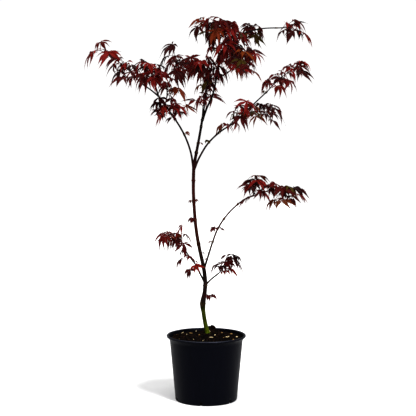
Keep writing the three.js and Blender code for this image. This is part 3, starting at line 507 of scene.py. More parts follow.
# How far sprouts turn by chance, how deep they root, their size and how far they lean down
SPROUT_SPREAD = 0.8
SPROUT_ROOT = 0.7
SPROUT_SIZE = (0.85, 0.3)
SPROUT_DROOP = 0.5


def unit(a):
    """A direction of length one."""
    return a / np.linalg.norm(a)


def vector(*values):
    """A point or direction."""
    return np.array(values, dtype=float)


def seeded(seed):
    """Random numbers from 0 to 1 that come out the same on every run."""
    state = [seed & WORD]

    def draw():
        state[0] = (state[0] + SEED_STEP) & WORD
        mixed = state[0]
        mixed = ((mixed ^ (mixed >> 15)) * (mixed | 1)) & WORD
        mixed ^= (mixed + (((mixed ^ (mixed >> 7)) * (mixed | 61)) & WORD)) & WORD
        return ((mixed ^ (mixed >> 14)) & WORD) / (WORD + 1)

    return draw


def bowed(start, tip, bow):
    """A curve from start to tip, pushed out by bow at its middle."""
    return lambda share: start + (tip - start) * share + bow * (4 * share * (1 - share))


def through(stations):
    """A smooth value through evenly spaced stations, each a list of numbers."""
    points = np.array(stations, dtype=float)
    last = len(points) - 1

    def at(share):
        place = min(max(share, 0), 1) * last
        index = min(math.floor(place), last - 1)
        f = place - index
        here = points[index]
        after = points[index + 1]
        before = points[index - 1] if index > 0 else 2 * here - after
        beyond = points[index + 2] if index < last - 1 else 2 * after - here
        bend = 2 * before - 5 * here + 4 * after - beyond
        twist = 3 * here - before - 3 * after + beyond
        return 0.5 * (2 * here + (after - before) * f + bend * f * f + twist * f * f * f)

    return at


def heading(curve, share):
    """The direction of a curve at a share of its length."""
    return unit(curve(min(share + HEADING_STEP, 1)) - curve(max(share - HEADING_STEP, 0)))


def across(ahead):
    """Two directions at right angles to a heading: one level, one rising."""
    flat = np.cross(ahead, UP)
    if np.linalg.norm(flat) < UPRIGHT:
        flat = vector(1, 0, 0)
    flat = unit(flat)
    flat = unit(flat - ahead * flat.dot(ahead))
    return flat, np.cross(flat, ahead)


def around(ahead, turn):
    """The direction at right angles to a heading, at a turn round it."""
    flat, rise = across(ahead)
    return flat * math.cos(turn) + rise * math.sin(turn)


def pick(draw, spread):
    """A number by chance: the least, and up to so much more."""
    least, more = spread
    return least + more * draw()


Limb = namedtuple("Limb", "name curve radius samples length")


def curve_length(curve):
    """The length of a curve."""
    points = np.array([curve(share) for share in np.linspace(0, 1, LENGTH_SAMPLES + 1)])
    return np.linalg.norm(np.diff(points, axis=0), axis=1).sum()


def taper(radii):
    """A radius that changes evenly from a root to a tip."""
    return lambda share: np.interp(share, (0, 1), radii)


def build_limbs():
    """The trunk and boughs as curves with a radius: each bough starts on its parent's curve."""
    trunk = through(TRUNK)
    soil = TRUNK[0][2]

    def trunk_curve(share):
        return trunk(share)[:3]

    def trunk_radius(share):
        _, _, z, radius = trunk(share)
        return radius + ROOT_FLARE * math.exp(-max(z - soil, 0) / FLARE_FADE)

    limbs = {"trunk": Limb("trunk", trunk_curve, trunk_radius, TRUNK_SAMPLES,
                           curve_length(trunk_curve))}
    for bough in BOUGHS:
        curve = through([limbs[bough.parent].curve(bough.at), *bough.route])
        limbs[bough.name] = Limb(bough.name, curve, taper(bough.radii), BOUGH_SAMPLES,
                                 curve_length(curve))
    return limbs


Leaf = namedtuple("Leaf", "root base normal size sag lobes tint")


def leaf_at(draw, root, out, size, droop, tint):
    """A leaf on its petiole. The blade leans down from the petiole's end; its lobes arch over."""
    petiole = size * pick(draw, PETIOLE_LENGTH)
    lift = unit(out + vector(0, 0, pick(draw, PETIOLE_LIFT)))
    base = root + lift * petiole
    level = vector(out[0], out[1], 0)
    if np.linalg.norm(level) < STEEP:
        turn = draw() * 2 * math.pi
        level = vector(math.cos(turn), math.sin(turn), 0)
    level = unit(level)
    swing = (draw() - 0.5) * BLADE_SWING
    level = vector(level[0] * math.cos(swing) - level[1] * math.sin(swing),
                   level[0] * math.sin(swing) + level[1] * math.cos(swing), 0)
    fall = droop + (draw() - 0.5) * BLADE_FALL
    ahead = level * math.cos(fall) - UP * math.sin(fall)
    face = level * math.sin(fall) + UP * math.cos(fall)
    roll = draw() - 0.5
    side = np.cross(face, ahead) * math.cos(roll) + face * math.sin(roll)
    sag = pick(draw, SAG)
    lobes = []
    for angle, share in LOBES:
        turn = math.radians(angle * pick(draw, LOBE_VARIES))
        reach = size * share * pick(draw, LOBE_VARIES)
        lobes.append((ahead * math.cos(turn) + side * math.sin(turn), reach))
    return Leaf(root, base, np.cross(ahead, side), size, sag, lobes, tint)


def lobe_point(leaf, way, reach, share):
    """A point on a lobe's midrib, which arches over under its own weight."""
    fall = leaf.sag * reach * share * share
    return leaf.base + way * (reach * share + way[2] * fall) - UP * fall


def leaf_points(leaf):
    """The points that stand for a leaf when its room is tested."""
    points = [leaf.root + (leaf.base - leaf.root) * share for share in PETIOLE_SAMPLES]
    for way, reach in leaf.lobes:
        points += [lobe_point(leaf, way, reach, share) for share in LOBE_SAMPLES]
    return points


def distances(points, others):
    """Distances from each point to each of the others."""
    return np.linalg.norm(np.asarray(points)[:, None, :] - others[None, :, :], axis=2)


class Room:
    """What is already there, so that no leaf or twig touches a limb or another mass."""

    def __init__(self, limbs):
        points = [(limb.curve(k / limb.samples), limb.radius(k / limb.samples))
                  for limb in limbs.values() for k in range(limb.samples + 1)]
        self.limb_points = np.array([point for point, _ in points])
        self.limb_radii = np.array([radius for _, radius in points])
        self.stems = [np.array([stem_of(mass, limbs)(k / STEM_SAMPLES)
                                for k in range(STEM_SAMPLES + 1)]) for mass in MASSES]
        self.taken = [np.zeros((0, 3)) for _ in MASSES]

    def is_free(self, points, index, own, bough, other=CLEAR_OTHER):
        """Whether points of one mass keep the clearances from all that is there."""
        if (distances(points, self.limb_points) - self.limb_radii).min() < bough:
            return False
        for k, (stem, taken) in enumerate(zip(self.stems, self.taken)):
            if k == index:
                if len(taken) and distances(points, taken).min() < own:
                    return False
                continue
            if distances(points, stem).min() < min(CLEAR_STEM, other):
                return False
            if len(taken) and distances(points, taken).min() < other:
                return False
        return True

    def take(self, points, index):
        """Keeps points as taken by a mass."""
        self.taken[index] = np.vstack([self.taken[index], points])


def stem_of(mass, limbs):
    """A mass's stem: it starts just past its limb's tip, or at the middle of its limb."""
    limb = limbs[mass.limb].curve
    start = limb(mass.at)
    if mass.at >= 1:
        start = start + heading(limb, 1) * GAP
    return bowed(start, vector(*mass.tip), vector(*mass.bow))


class Growth:
    """One mass: from its stem grow opposite pairs of leaves, or of twigs that end in leaves."""

    def __init__(self, mass, index, limbs, room):
        self.mass = mass
        self.index = index
        self.room = room
        self.curve = stem_of(mass, limbs)
        self.core = np.array([self.curve(k / REACH_SAMPLES) for k in range(REACH_SAMPLES + 1)])
        self.core -= UP * CORE_DROP
        self.twigs = []
        self.leaves = []

    def within(self, points):
        """Whether all points are within the mass's reach."""
        return distances(points, self.core).min(axis=1).max() <= self.mass.reach

    def try_leaf(self, draw, root, lead, along, scale=1, own=CLEAR_OWN, other=CLEAR_OTHER,
                 bough=CLEAR_BOUGH):
        """Adds a leaf where one finds room in a few tries."""
        mass = self.mass
        for _ in range(TRIES):
            out = unit(lead + along * pick(draw, LEAF_LEAD))
            size = mass.leaf * scale * pick(draw, LEAF_SIZE)
            leaf = leaf_at(draw, root, out, size, mass.droop, mass.tint)
            points = leaf_points(leaf)
            if self.within(points) and self.room.is_free(points, self.index, own, bough, other):
                self.room.take(points, self.index)
                self.leaves.append(leaf)
                return True
        return False

    def try_twig(self, draw, root, ahead, lead, share):
        """Adds a twig with a pair of leaves at its tip where one finds room."""
        foot, fall = TWIG_FALL
        for _ in range(TRIES):
            out = unit(lead + ahead * pick(draw, TWIG_LEAD))
            length = self.mass.twig * pick(draw, TWIG_SIZE) * (foot - fall * share)
            tip = root + out * length
            twig = bowed(root, tip, TWIG_BOW)
            points = [*(twig(test) for test in TWIG_TESTS), tip]
            if self.within(points) and self.room.is_free(points, self.index, 0, CLEAR_TWIG):
                self.room.take(points, self.index)
                self.twigs.append(twig)
                along = heading(twig, 1)
                outwards = around(along, draw() * math.pi)
                self.try_leaf(draw, tip, outwards, along)
                self.try_leaf(draw, tip, -outwards, along)
                return True
        return False

    def grow(self):
        """Grows the stem's pairs and the leaf at its tip."""
        draw = seeded(self.mass.seed)
        first_turn = draw() * math.pi
        for k, share in enumerate(self.mass.nodes):
            root = self.curve(share)
            ahead = heading(self.curve, share)
            for sign in (1, -1):
                turn = first_turn + k * math.pi / 2 + (draw() - 0.5) * PAIR_TURN
                lead = around(ahead, turn) * sign
                forks = self.mass.twig > 0 and share < LAST_TWIG and draw() < self.mass.forks
                if not (forks and self.try_twig(draw, root, ahead, lead, share)):
                    self.try_leaf(draw, root, lead, ahead)
        last = vector(draw() - 0.5, draw() - 0.5, draw() - 0.5)
        self.try_leaf(draw, self.curve(1), last, heading(self.curve, 1))


def grow_finer(growth):
    """Carries a mass on to finer twigs: smaller leaves between the first ones, in its space."""
    if len(growth.mass.nodes) < 2:
        return
    draw = seeded(growth.mass.seed + FINER_SEED)

    def add_pair(curve, share):
        ahead = heading(curve, share)
        lead = around(ahead, draw() * math.pi)
        for sign in (1, -1):
            growth.try_leaf(draw, curve(share), lead * sign, ahead, FINER_SCALE, FINER_OWN,
                            FINER_OTHER, FINER_BOUGH)

    for share in FINER_SHARES:
        add_pair(growth.curve, share)
    for twig in growth.twigs:
        add_pair(twig, FINER_TWIG_SHARE)


def add_node(tree, kind, output, inputs):
    """A node whose inputs take plain values or other nodes' outputs, and its own output."""
    node = tree.nodes.new("ShaderNode" + kind)
    for name, value in inputs.items():
        if isinstance(value, bpy.types.NodeSocket):
            tree.links.new(value, node.inputs[name])
        else:
            node.inputs[name].default_value = value
    return node.outputs[output]


def add_height(tree, space):
    """The upward part of a place, or of a direction."""
    place = add_node(tree, "TexCoord", space, {})
    return add_node(tree, "SeparateXYZ", "Z", {"Vector": place})


class Surface:
    """A material, with its shader's inputs at plain values or fed by noise."""

    def __init__(self, name, color, roughness, specular):
        self.material = bpy.data.materials.new(name)
        self.material.use_nodes = True
        self.tree = self.material.node_tree
        self.inputs = self.tree.nodes["Principled BSDF"].inputs
        self.inputs["Base Color"].default_value = (*color, 1)
        self.inputs["Roughness"].default_value = roughness
        self.inputs["Specular IOR Level"].default_value = specular

    def feed(self, name, value):
        """A value or colour led to one of the shader's inputs."""
        self.tree.links.new(value, self.inputs[name])

    def noise(self, scale, detail, stretch=(1, 1, 1)):
        """Noise in the object's own space, stretched along its axes."""
        place = add_node(self.tree, "TexCoord", "Object", {})
        place = add_node(self.tree, "Mapping", "Vector", {"Vector": place, "Scale": stretch})
        return add_node(self.tree, "TexNoise", "Fac",
                        {"Vector": place, "Scale": scale, "Detail": detail})

    def ramp(self, fac, stops):
        """A colour ramp over fac: each stop is a place and a colour."""
        color = add_node(self.tree, "ValToRGB", "Color", {"Fac": fac})
        elements = color.node.color_ramp.elements
        while len(elements) < len(stops):
            elements.new(0.5)
        for element, (place, tint) in zip(elements, stops):
            element.position = place
            element.color = (*tint, 1)
        return color

    def paint(self, fac, stops):
        """The base colour from a ramp over fac."""
        self.feed("Base Color", self.ramp(fac, stops))

    def emboss(self, height, strength, distance):
        """Relief from a height."""
        self.feed("Normal", add_node(self.tree, "Bump", "Normal", {
            "Height": height, "Strength": strength, "Distance": distance}))


def shade(color, factor):
    """A colour made lighter or darker."""
    return tuple(min(channel * factor, 1) for channel in color)


def mottled(color, darker, lighter):
    """A ramp's stops from a colour made darker to the same colour made lighter."""
    return [(0.3, shade(color, darker)), (0.7, shade(color, lighter))]


def leaf_material(name, color):
    """A leaf's surface: a soft gloss, faint mottling and the fine relief of its veins."""
    skin = Surface(name, color, 0.46, 0.035)
    skin.paint(skin.noise(260, 3), mottled(color, 1 - LEAF_MOTTLE, 1 + LEAF_MOTTLE))
    skin.emboss(skin.noise(900, 4), 0.35, 0.0006)
    return skin.material


def bark_material():
    """Bark by height: green rootstock, tan graft, grey-streaked maroon, darker boughs."""
    bark = Surface("bark", (0.05, 0.02, 0.015), 0.6, 0.04)
    height = add_node(bark.tree, "MapRange", "Result", {
        "Value": add_height(bark.tree, "Object"), "From Min": BARK_FROM * MM,
        "From Max": BARK_TO * MM})
    streaks = bark.noise(120, 5, (9, 9, 1))
    mix = bark.tree.nodes.new("ShaderNodeMix")
    mix.data_type = "RGBA"
    mix.blend_type = "MULTIPLY"
    mix.inputs["Factor"].default_value = 1
    bark.tree.links.new(bark.ramp(height, BARK_ZONES), mix.inputs["A"])
    bark.tree.links.new(bark.ramp(streaks, BARK_STREAKS), mix.inputs["B"])
    bark.feed("Base Color", mix.outputs["Result"])
    bark.emboss(streaks, 0.5, 0.0008)
    return bark.material


def scar_material():
    """Corky tan bark where the graft has healed."""
    scar = Surface("scar_bark", (0.06, 0.035, 0.014), 0.8, 0.04)
    cork = scar.noise(260, 4)
    scar.paint(cork, [(0.35, (0.012, 0.006, 0.004)), (0.6, (0.085, 0.050, 0.020))])
    scar.emboss(cork, 0.6, 0.0008)
    return scar.material


def twig_material():
    """Dark maroon young twigs with a faint streak."""
    color = (0.012, 0.003, 0.003)
    bark = Surface("twig_bark", color, 0.5, 0.05)
    streaks = bark.noise(400, 3)
    bark.paint(streaks, mottled(color, 0.6, 1.8))
    bark.emboss(streaks, 0.3, 0.0004)
    return bark.material


def petiole_material():
    """Slender leaf stalks, dark red."""
    color = (0.055, 0.006, 0.006)
    skin = Surface("petiole_skin", color, 0.45, 0.1)
    skin.paint(skin.noise(300, 2), mottled(color, 0.6, 1.5))
    return skin.material


def bud_material():
    """Buds and bud scales, yellow-green with red."""
    skin = Surface("bud_skin", (0.16, 0.10, 0.02), 0.5, 0.4)
    skin.paint(skin.noise(500, 2), [(0.35, (0.10, 0.02, 0.012)), (0.65, (0.22, 0.17, 0.03))])
    return skin.material


def pot_material(name, color, specular):
    """Black moulded plastic: a faint grain, and scuffs that run down the wall."""
    plastic = Surface(name, color, 0.42, specular)
    plastic.inputs["Specular Tint"].default_value = (0.7, 0.76, 1, 1)
    streaks = plastic.noise(40, 5, (3, 3, 0.35))
    plastic.paint(streaks, [(0.35, shade(color, 0.8)), (0.62, color), (0.78, shade(color, 1.9))])
    plastic.feed("Roughness", add_node(plastic.tree, "MapRange", "Result", {
        "Value": streaks, "To Min": 0.34, "To Max": 0.55}))
    plastic.emboss(plastic.noise(1400, 2), 0.12, 0.0004)
    return plastic.material


def crumb_materials(browns):
    """Bark compost, a material for each range of browns."""
    materials = []
    for name, dark, light in browns:
        bark = Surface(name, light, 0.9, 0.05)
        grain = bark.noise(320, 5)
        bark.paint(grain, [(0.3, dark), (0.7, light)])
        bark.emboss(grain, 0.7, 0.0012)
        materials.append(bark.material)
    return materials


class Shape:
    """Vertices and faces gathered for one mesh, in millimetres, with a material per face."""

    def __init__(self):
        self.vertices = []
        self.faces = []
        self.slots = []
        self.count = 0

    def add(self, vertices, faces, slot=0):
        """Adds vertices and faces; slot is one number or one per face."""
        faces = np.asarray(faces)
        self.vertices.append(np.asarray(vertices, dtype=float))
        self.faces.append(faces + self.count)
        self.slots.append(np.full(len(faces), slot) if np.isscalar(slot) else np.asarray(slot))
        self.count += len(vertices)

    def build(self, name, materials):
        """Makes the mesh object from four-cornered faces."""
        vertices = np.vstack(self.vertices) * MM
        faces = np.vstack(self.faces)
        mesh = bpy.data.meshes.new(name)
        mesh.vertices.add(len(vertices))
        mesh.vertices.foreach_set("co", vertices.ravel())
        mesh.loops.add(faces.size)
        mesh.loops.foreach_set("vertex_index", faces.ravel())
        mesh.polygons.add(len(faces))
        mesh.polygons.foreach_set("loop_start", np.arange(0, faces.size, 4))
        mesh.polygons.foreach_set("material_index", np.concatenate(self.slots))
        for material in materials:
            mesh.materials.append(material)
        mesh.update()
        mesh.validate()
        mesh.shade_smooth()
        piece = bpy.data.objects.new(name, mesh)
        bpy.context.scene.collection.objects.link(piece)
        return piece


def sheet_faces(rows, columns):
    """The faces of a sheet of vertices, row after row."""
    first = np.arange(rows - 1)[:, None] * columns + np.arange(columns - 1)[None, :]
    first = first.ravel()
    return np.stack([first, first + 1, first + 1 + columns, first + columns], axis=1)


def ring_faces(rings, sides):
    """The faces of a tube of rings of vertices."""
    ring = np.arange(rings - 1)[:, None] * sides
    here = np.arange(sides)[None, :]
    after = (here + 1) % sides
    corners = [ring + here, ring + after, ring + after + sides, ring + here + sides]
    return np.stack([corner.ravel() for corner in corners], axis=1)


def tube(curve, radius, rings, sides, relief=None):
    """Rings round a curve, with closed rounded ends. relief(share, turns) adds to the radius."""
    shares = np.linspace(0, 1, rings)
    turns = np.linspace(0, 2 * math.pi, sides, endpoint=False)
    side = None
    vertices = []
    for k, share in enumerate(shares):
        ahead = heading(curve, share)
        side = across(ahead)[0] if side is None else unit(side - ahead * side.dot(ahead))
        up = np.cross(ahead, side)
        reach = np.full(sides, float(radius(share)))
        if relief is not None:
            reach = reach + relief(share, turns)
        ring = np.cos(turns)[:, None] * side + np.sin(turns)[:, None] * up
        centre = curve(share)
        if k == 0:
            vertices.append(np.repeat([centre], sides, axis=0))
        vertices.append(centre + ring * reach[:, None])
        if k == rings - 1:
            end = centre + ahead * radius(share) * TUBE_END
            vertices.append(np.repeat([end], sides, axis=0))
    return np.vstack(vertices), ring_faces(rings + 2, sides)


def ring_at(reach, height, turns):
    """A level ring of points round the middle."""
    return np.stack([reach * np.cos(turns), reach * np.sin(turns),
                     np.full(len(turns), float(height))], axis=1)


def spun(points, turn, first=0, second=1):
    """Points turned from one axis towards another."""
    matrix = np.eye(3)
    matrix[[first, second], [first, second]] = math.cos(turn)
    matrix[second, first] = math.sin(turn)
    matrix[first, second] = -math.sin(turn)
    return points @ matrix.T


def dress(piece, nodes):
    """A piece rides with the plant and stands for its nodes, which it hides."""
    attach(piece, "root")
    if nodes:
        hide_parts(*sorted(nodes))


def lobe_sheet(leaf, way, reach, breadth, draw):
    """One lobe: a long toothed blade, folded along its midrib, that hooks and droops."""
    rows = np.arange(LOBE_ROWS)[:, None]
    teeth = (rows % 2 == 1) & (rows > 2) & (rows < LOBE_ROWS - 2)
    shares = rows / (LOBE_ROWS - 1)
    hook = HOOK * (2 * draw() - 1)
    bow = BOW_UP * draw()
    droop = TIP_DROOP * draw()
    twist = TWIST * (2 * draw() - 1) * shares
    phase = 2 * math.pi * draw()
    side = unit(np.cross(leaf.normal, way))

    fall = leaf.sag * reach * shares ** ARCH
    middle = leaf.base + way * (reach * shares + way[2] * fall) - UP * fall
    middle = middle + side * (hook * reach * shares ** 2)
    middle = middle + UP * (bow * reach * 4 * shares * (1 - shares))
    middle = middle - UP * (droop * reach * np.clip(shares - DROOP_FROM, 0, 1) ** 2 * 2)
    along = np.gradient(middle, axis=0)
    along /= np.linalg.norm(along, axis=1)[:, None]
    sides = side - along * (along @ side)[:, None]
    sides /= np.linalg.norm(sides, axis=1)[:, None]
    sides = sides * np.cos(twist) + np.cross(along, sides) * np.sin(twist)
    faces_up = np.cross(along, sides)

    width = np.interp(shares, OUTLINE_AT, OUTLINE_WIDTH) * HALF_WIDTH * breadth * reach
    width = width * np.where(teeth, 1 + TOOTH, 1 - TOOTH / 2)
    lean = np.where(teeth, TOOTH_LEAN * reach / (LOBE_ROWS - 1), 0) * np.abs(ACROSS) ** 2
    wave = RIPPLE * width * np.abs(ACROSS) * np.sin(shares * RIPPLE_TURNS + phase)
    lift = FOLD * np.abs(ACROSS) * width + wave
    points = middle[:, None] + sides[:, None] * (width * ACROSS)[:, :, None]
    points = points + faces_up[:, None] * lift[:, :, None] + along[:, None] * lean[:, :, None]
    return points.reshape(-1, 3)


LOBE_FACES = sheet_faces(LOBE_ROWS, len(ACROSS))
LOBE_SLOTS = np.where(np.arange(len(LOBE_FACES)) % (len(ACROSS) - 1) == VEIN_COLUMN, 1, 0)


def petiole_curve(leaf):
    """The leaf's stalk, which rises from its twig and bends over into the blade."""
    lift = np.linalg.norm(leaf.base - leaf.root) * PETIOLE_ARCH
    return bowed(leaf.root, leaf.base, UP * lift)


def make_leaves(growths, sprouts):
    """The leaves, joined by tint, and their petioles in one piece."""
    shapes = {tint: Shape() for tint in TINTS}
    owners = {tint: set() for tint in TINTS}
    petioles = Shape()

    def add(leaf, tint, draw, breadth=1, slimmer=1):
        breadth *= max(1, (FULL_LEAF / leaf.size) ** 0.5)
        for way, reach in leaf.lobes:
            shapes[tint].add(lobe_sheet(leaf, way, reach, breadth, draw), LOBE_FACES, LOBE_SLOTS)
        radii = np.array(PETIOLE_RADII) * slimmer
        petioles.add(*tube(petiole_curve(leaf), taper(radii), PETIOLE_RINGS, PETIOLE_SIDES))

    for growth in growths:
        draw = seeded(growth.mass.seed + TINT_SEED)
        deal = DEALS[growth.mass.tint]
        for leaf in growth.leaves:
            tint = deal[int(draw() * len(deal))]
            owners[tint].add(growth.mass.name)
            add(leaf, tint, draw, BREADTHS.get(growth.mass.name, 1))
    draw = seeded(TINT_SEED)
    for leaf in sprouts:
        add(leaf, leaf.tint, draw, 1, SPROUT_PETIOLE)
    for tint, shape in shapes.items():
        slot, blade, vein = TINTS[tint]
        materials = [leaf_material("leaf_" + tint, blade), leaf_material("vein_" + tint, vein)]
        dress(shape.build("leaves_" + tint, materials), owners[tint])
    piece = petioles.build("petioles", [petiole_material()])
    dress(piece, [growth.mass.name for growth in growths])


def grow_sprouts(limbs):
    """Small leaves straight from the limbs' bark."""
    draw = seeded(SPROUT_SEED)
    leaves = []
    for sprout in SPROUTS:
        limb = limbs[sprout.limb]
        for _ in range(sprout.count):
            by_chance = vector(*(draw() - 0.5 for _ in range(3))) * SPROUT_SPREAD
            out = unit(vector(*sprout.out) + by_chance)
            root = limb.curve(sprout.at) + out * limb.radius(sprout.at) * SPROUT_ROOT
            size = sprout.leaf * pick(draw, SPROUT_SIZE)
            leaves.append(leaf_at(draw, root, out, size, SPROUT_DROOP, sprout.tint))
    return leaves


def make_buds(limbs):
    """A pair of pointed buds at each node of the limbs, pressed to the bark."""
    shape = Shape()
    for k, (name, nodes) in enumerate(NODES.items()):
        limb = limbs[name]
        for index, (share, _) in enumerate(nodes):
            ahead = heading(limb.curve, share)
            lead = around(ahead, (index + k) * math.pi / 2)
            for out in (lead, -lead):
                root = limb.curve(share) + out * limb.radius(share) * BUD_ROOT
                tip = root + unit(out + ahead * BUD_LEAN) * BUD_LENGTH
                bud = bowed(root, tip, out * BUD_BOW)
                shape.add(*tube(bud, bud_radius, BUD_RINGS, BUD_SIDES))
    dress(shape.build("buds", [bud_material()]), [])


def bud_radius(share):
    """A bud's radius: a narrow foot, a full body and a point."""
    return BUD_RADIUS * np.interp(share, *BUD_OUTLINE)


def make_twigs(growths):
    """The stems and twigs of all masses, with a swelling at each pair of leaves."""
    shape = Shape()
    for growth in growths:
        nodes = np.array(growth.mass.nodes)

        def stem_radius(share, nodes=nodes):
            swell = TWIG_NODE_SWELL * np.exp(-((share - nodes) / TWIG_NODE_LENGTH) ** 2).sum()
            return taper(STEM_RADII)(share) + swell

        shape.add(*tube(growth.curve, stem_radius, STEM_RINGS, TWIG_SIDES))
        for twig in growth.twigs:
            shape.add(*tube(twig, taper(TWIG_RADII), TWIG_RINGS, TWIG_SIDES))
    piece = shape.build("twigs", [twig_material()])
    dress(piece, [growth.mass.name for growth in growths])


def make_limbs(limbs):
    """Trunk and boughs in one piece, with bark relief, swollen nodes and collars at forks."""
    shape = Shape()
    for limb in limbs.values():
        nodes = np.array([share for share, _ in NODES.get(limb.name, [])])
        swells = np.array([swell for _, swell in NODES.get(limb.name, [])])
        collar = 0 if limb.name == "trunk" else limb.radius(0) * COLLAR_SWELL

        def radius(share, limb=limb, nodes=nodes, swells=swells, collar=collar):
            away = (share - nodes) * limb.length / NODE_LENGTH
            swell = (swells * np.exp(-away ** 2)).sum() if len(nodes) else 0
            foot = collar * math.exp(-share * limb.length / COLLAR_LENGTH)
            return limb.radius(share) + BARK_THICKNESS + swell + foot

        def relief(share, turns, limb=limb):
            place = limb.curve(share)
            depth = RELIEF_SHARE * limb.radius(share)
            return np.array([depth * noise.noise(Vector((
                RELIEF_ROUND * math.cos(turn) + place[0] * RELIEF_ACROSS,
                RELIEF_ROUND * math.sin(turn) + place[1] * RELIEF_ACROSS,
                place[2] * RELIEF_ALONG))) for turn in turns])

        sides = TRUNK_SIDES if limb.name == "trunk" else BOUGH_SIDES
        rings = int(limb.length / RING_SPACING)
        shape.add(*tube(limb.curve, radius, rings, sides, relief))
    draw = seeded(SCAR_SEED)
    for x, y, z, size, height in GRAFT_SCARS:
        points, faces = crumb(draw, size, size, height)
        shape.add(points + vector(x, y, z), faces, 1)
    piece = shape.build("limbs", [bark_material(), scar_material()])
    dress(piece, limbs)


def pot_profile():
    """The pot's section from the middle of its underside round the rim to its floor's middle."""
    bead_radius = POT_RIM_RADIUS - LIP_ROUND
    bead_height = POT_HEIGHT - LIP_ROUND
    slope = (POT_NECK_RADIUS - POT_BASE_RADIUS) / (POT_NECK_HEIGHT - POT_FOOT_BEVEL)
    profile = [(0, 0), (POT_BASE_RADIUS / 2, 0), (POT_BASE_RADIUS - POT_FOOT_BEVEL, 0)]
    for k in range(1, POT_BEVEL_STEPS):
        turn = k / POT_BEVEL_STEPS * math.pi / 2
        profile.append((POT_BASE_RADIUS - POT_FOOT_BEVEL * (1 - math.sin(turn)),
                        POT_FOOT_BEVEL * (1 - math.cos(turn))))
    for share in np.linspace(0, 1, POT_WALL_RINGS):
        z = POT_FOOT_BEVEL + (POT_NECK_HEIGHT - POT_FOOT_BEVEL) * share
        profile.append((POT_BASE_RADIUS + slope * (z - POT_FOOT_BEVEL), z))
    neck_top = bead_height - LIP_ROUND
    for share in np.linspace(0, 1, POT_NECK_RINGS)[1:]:
        z = POT_NECK_HEIGHT + (neck_top - POT_NECK_HEIGHT) * share
        flare = (bead_radius - POT_NECK_RADIUS) * share ** NECK_FLARE
        profile.append((POT_NECK_RADIUS + flare, z))
    for k in range(1, POT_LIP_STEPS + 1):
        turn = -math.pi / 2 + 1.5 * math.pi * k / POT_LIP_STEPS
        profile.append((bead_radius + LIP_ROUND * math.cos(turn),
                        bead_height + LIP_ROUND * math.sin(turn)))
    inner_neck = POT_NECK_RADIUS - POT_WALL
    out, up = INNER_SHOULDER
    profile.append((inner_neck + out, POT_NECK_HEIGHT + up))
    profile.append((inner_neck, POT_NECK_HEIGHT))
    profile.append((POT_BASE_RADIUS - POT_WALL, POT_FLOOR))
    profile.append((0, POT_FLOOR))
    return np.array(profile)


def drain_cutter(k):
    """A block that cuts one drain notch out of the pot's foot."""
    half = DRAIN_WIDTH / 2
    outer = -POT_BASE_RADIUS - DRAIN_DEPTH / 2
    inner = -POT_BASE_RADIUS + DRAIN_DEPTH / 2
    corners = [(x, y, z) for z in (-DRAIN_HEIGHT, DRAIN_HEIGHT)
               for x, y in ((-half, outer), (half, outer), (half, inner), (-half, inner))]
    cutter = Shape()
    cutter.add(spun(np.array(corners), DRAIN_TURN + 2 * math.pi * k / DRAIN_COUNT),
               [(0, 3, 2, 1), (4, 5, 6, 7), (0, 1, 5, 4), (1, 2, 6, 5), (2, 3, 7, 6), (3, 0, 4, 7)])
    return cutter.build("drain_cutter_%d" % k, [])


def make_pot():
    """The pot as a turned shell with its drain notches cut out."""
    profile = pot_profile()
    turns = np.linspace(0, 2 * math.pi, POT_SIDES, endpoint=False)
    # Faces on the top of the rim bead take the rim material: a lighter colour as a painted
    # highlight, and more gloss
    on_rim = np.array([min(a[1], b[1]) > RIM_GLOSS_AND_HIGHLIGHT_FROM and min(a[0], b[0]) > POT_NECK_RADIUS
                       for a, b in zip(profile, profile[1:])])
    shape = Shape()
    shape.add(np.vstack([ring_at(reach, height, turns) for reach, height in profile]),
              ring_faces(len(profile), POT_SIDES), np.repeat(on_rim, POT_SIDES))
    # The rim's material is the wall's plastic painted lighter as a highlight, with a higher
    # specular level
    pot = shape.build("pot_shell", [pot_material("pot_plastic", WALL_COLOR, 0.05),
                                    pot_material("rim_plastic", RIM_HIGHLIGHT_COLOR, 0.35)])
    weld = pot.modifiers.new("weld", "WELD")
    weld.merge_threshold = WELD_DISTANCE
    cutters = [drain_cutter(k) for k in range(DRAIN_COUNT)]
    for block in cutters:
        cut = pot.modifiers.new("cut", "BOOLEAN")
        cut.operation = "DIFFERENCE"
        cut.object = block
        cut.solver = "EXACT"
    cut_mesh = bpy.data.meshes.new_from_object(
        pot.evaluated_get(bpy.context.evaluated_depsgraph_get()))
    pot.modifiers.clear()
    pot.data = cut_mesh
    cut_mesh.shade_smooth()
    for block in cutters:
        bpy.data.objects.remove(block)
    dress(pot, ["pot"])


def compost_height(x, y):
    """The compost's surface: level at the trunk, lower at the wall, with a heap at the back."""
    away = math.hypot(x, y) / POT_NECK_RADIUS
    heap = math.hypot(x - HEAP_AT[0], y - HEAP_AT[1]) / HEAP_SPREAD
    rise = HEAP_HEIGHT * math.exp(-heap ** 2)
    rough = sum(height * noise.noise(Vector((x * fine, y * fine, layer)))
                for height, fine, layer in WAVES)
    return COMPOST_CROWN - WAVE_DROP + (COMPOST_EDGE - COMPOST_CROWN) * away ** 2 + rise + rough


def crumb(draw, length, width, height):
    """A rough chip: a squashed ball of a few rings with uneven corners."""
    points = []
    for level, share in CRUMB_RINGS:
        for k in range(CRUMB_SIDES):
            turn = 2 * math.pi * (k + CRUMB_SHIFT * draw()) / CRUMB_SIDES
            reach = share * pick(draw, CRUMB_VARIES)
            points.append((length / 2 * reach * math.cos(turn),
                           width / 2 * reach * math.sin(turn), height / 2 * level))
    return np.array(points), ring_faces(len(CRUMB_RINGS), CRUMB_SIDES)


def tumbled(points, turn, tilt, lean):
    """Points tilted, leaned and turned about the vertical."""
    return spun(spun(spun(points, tilt, 1, 2), lean, 2, 0), turn)


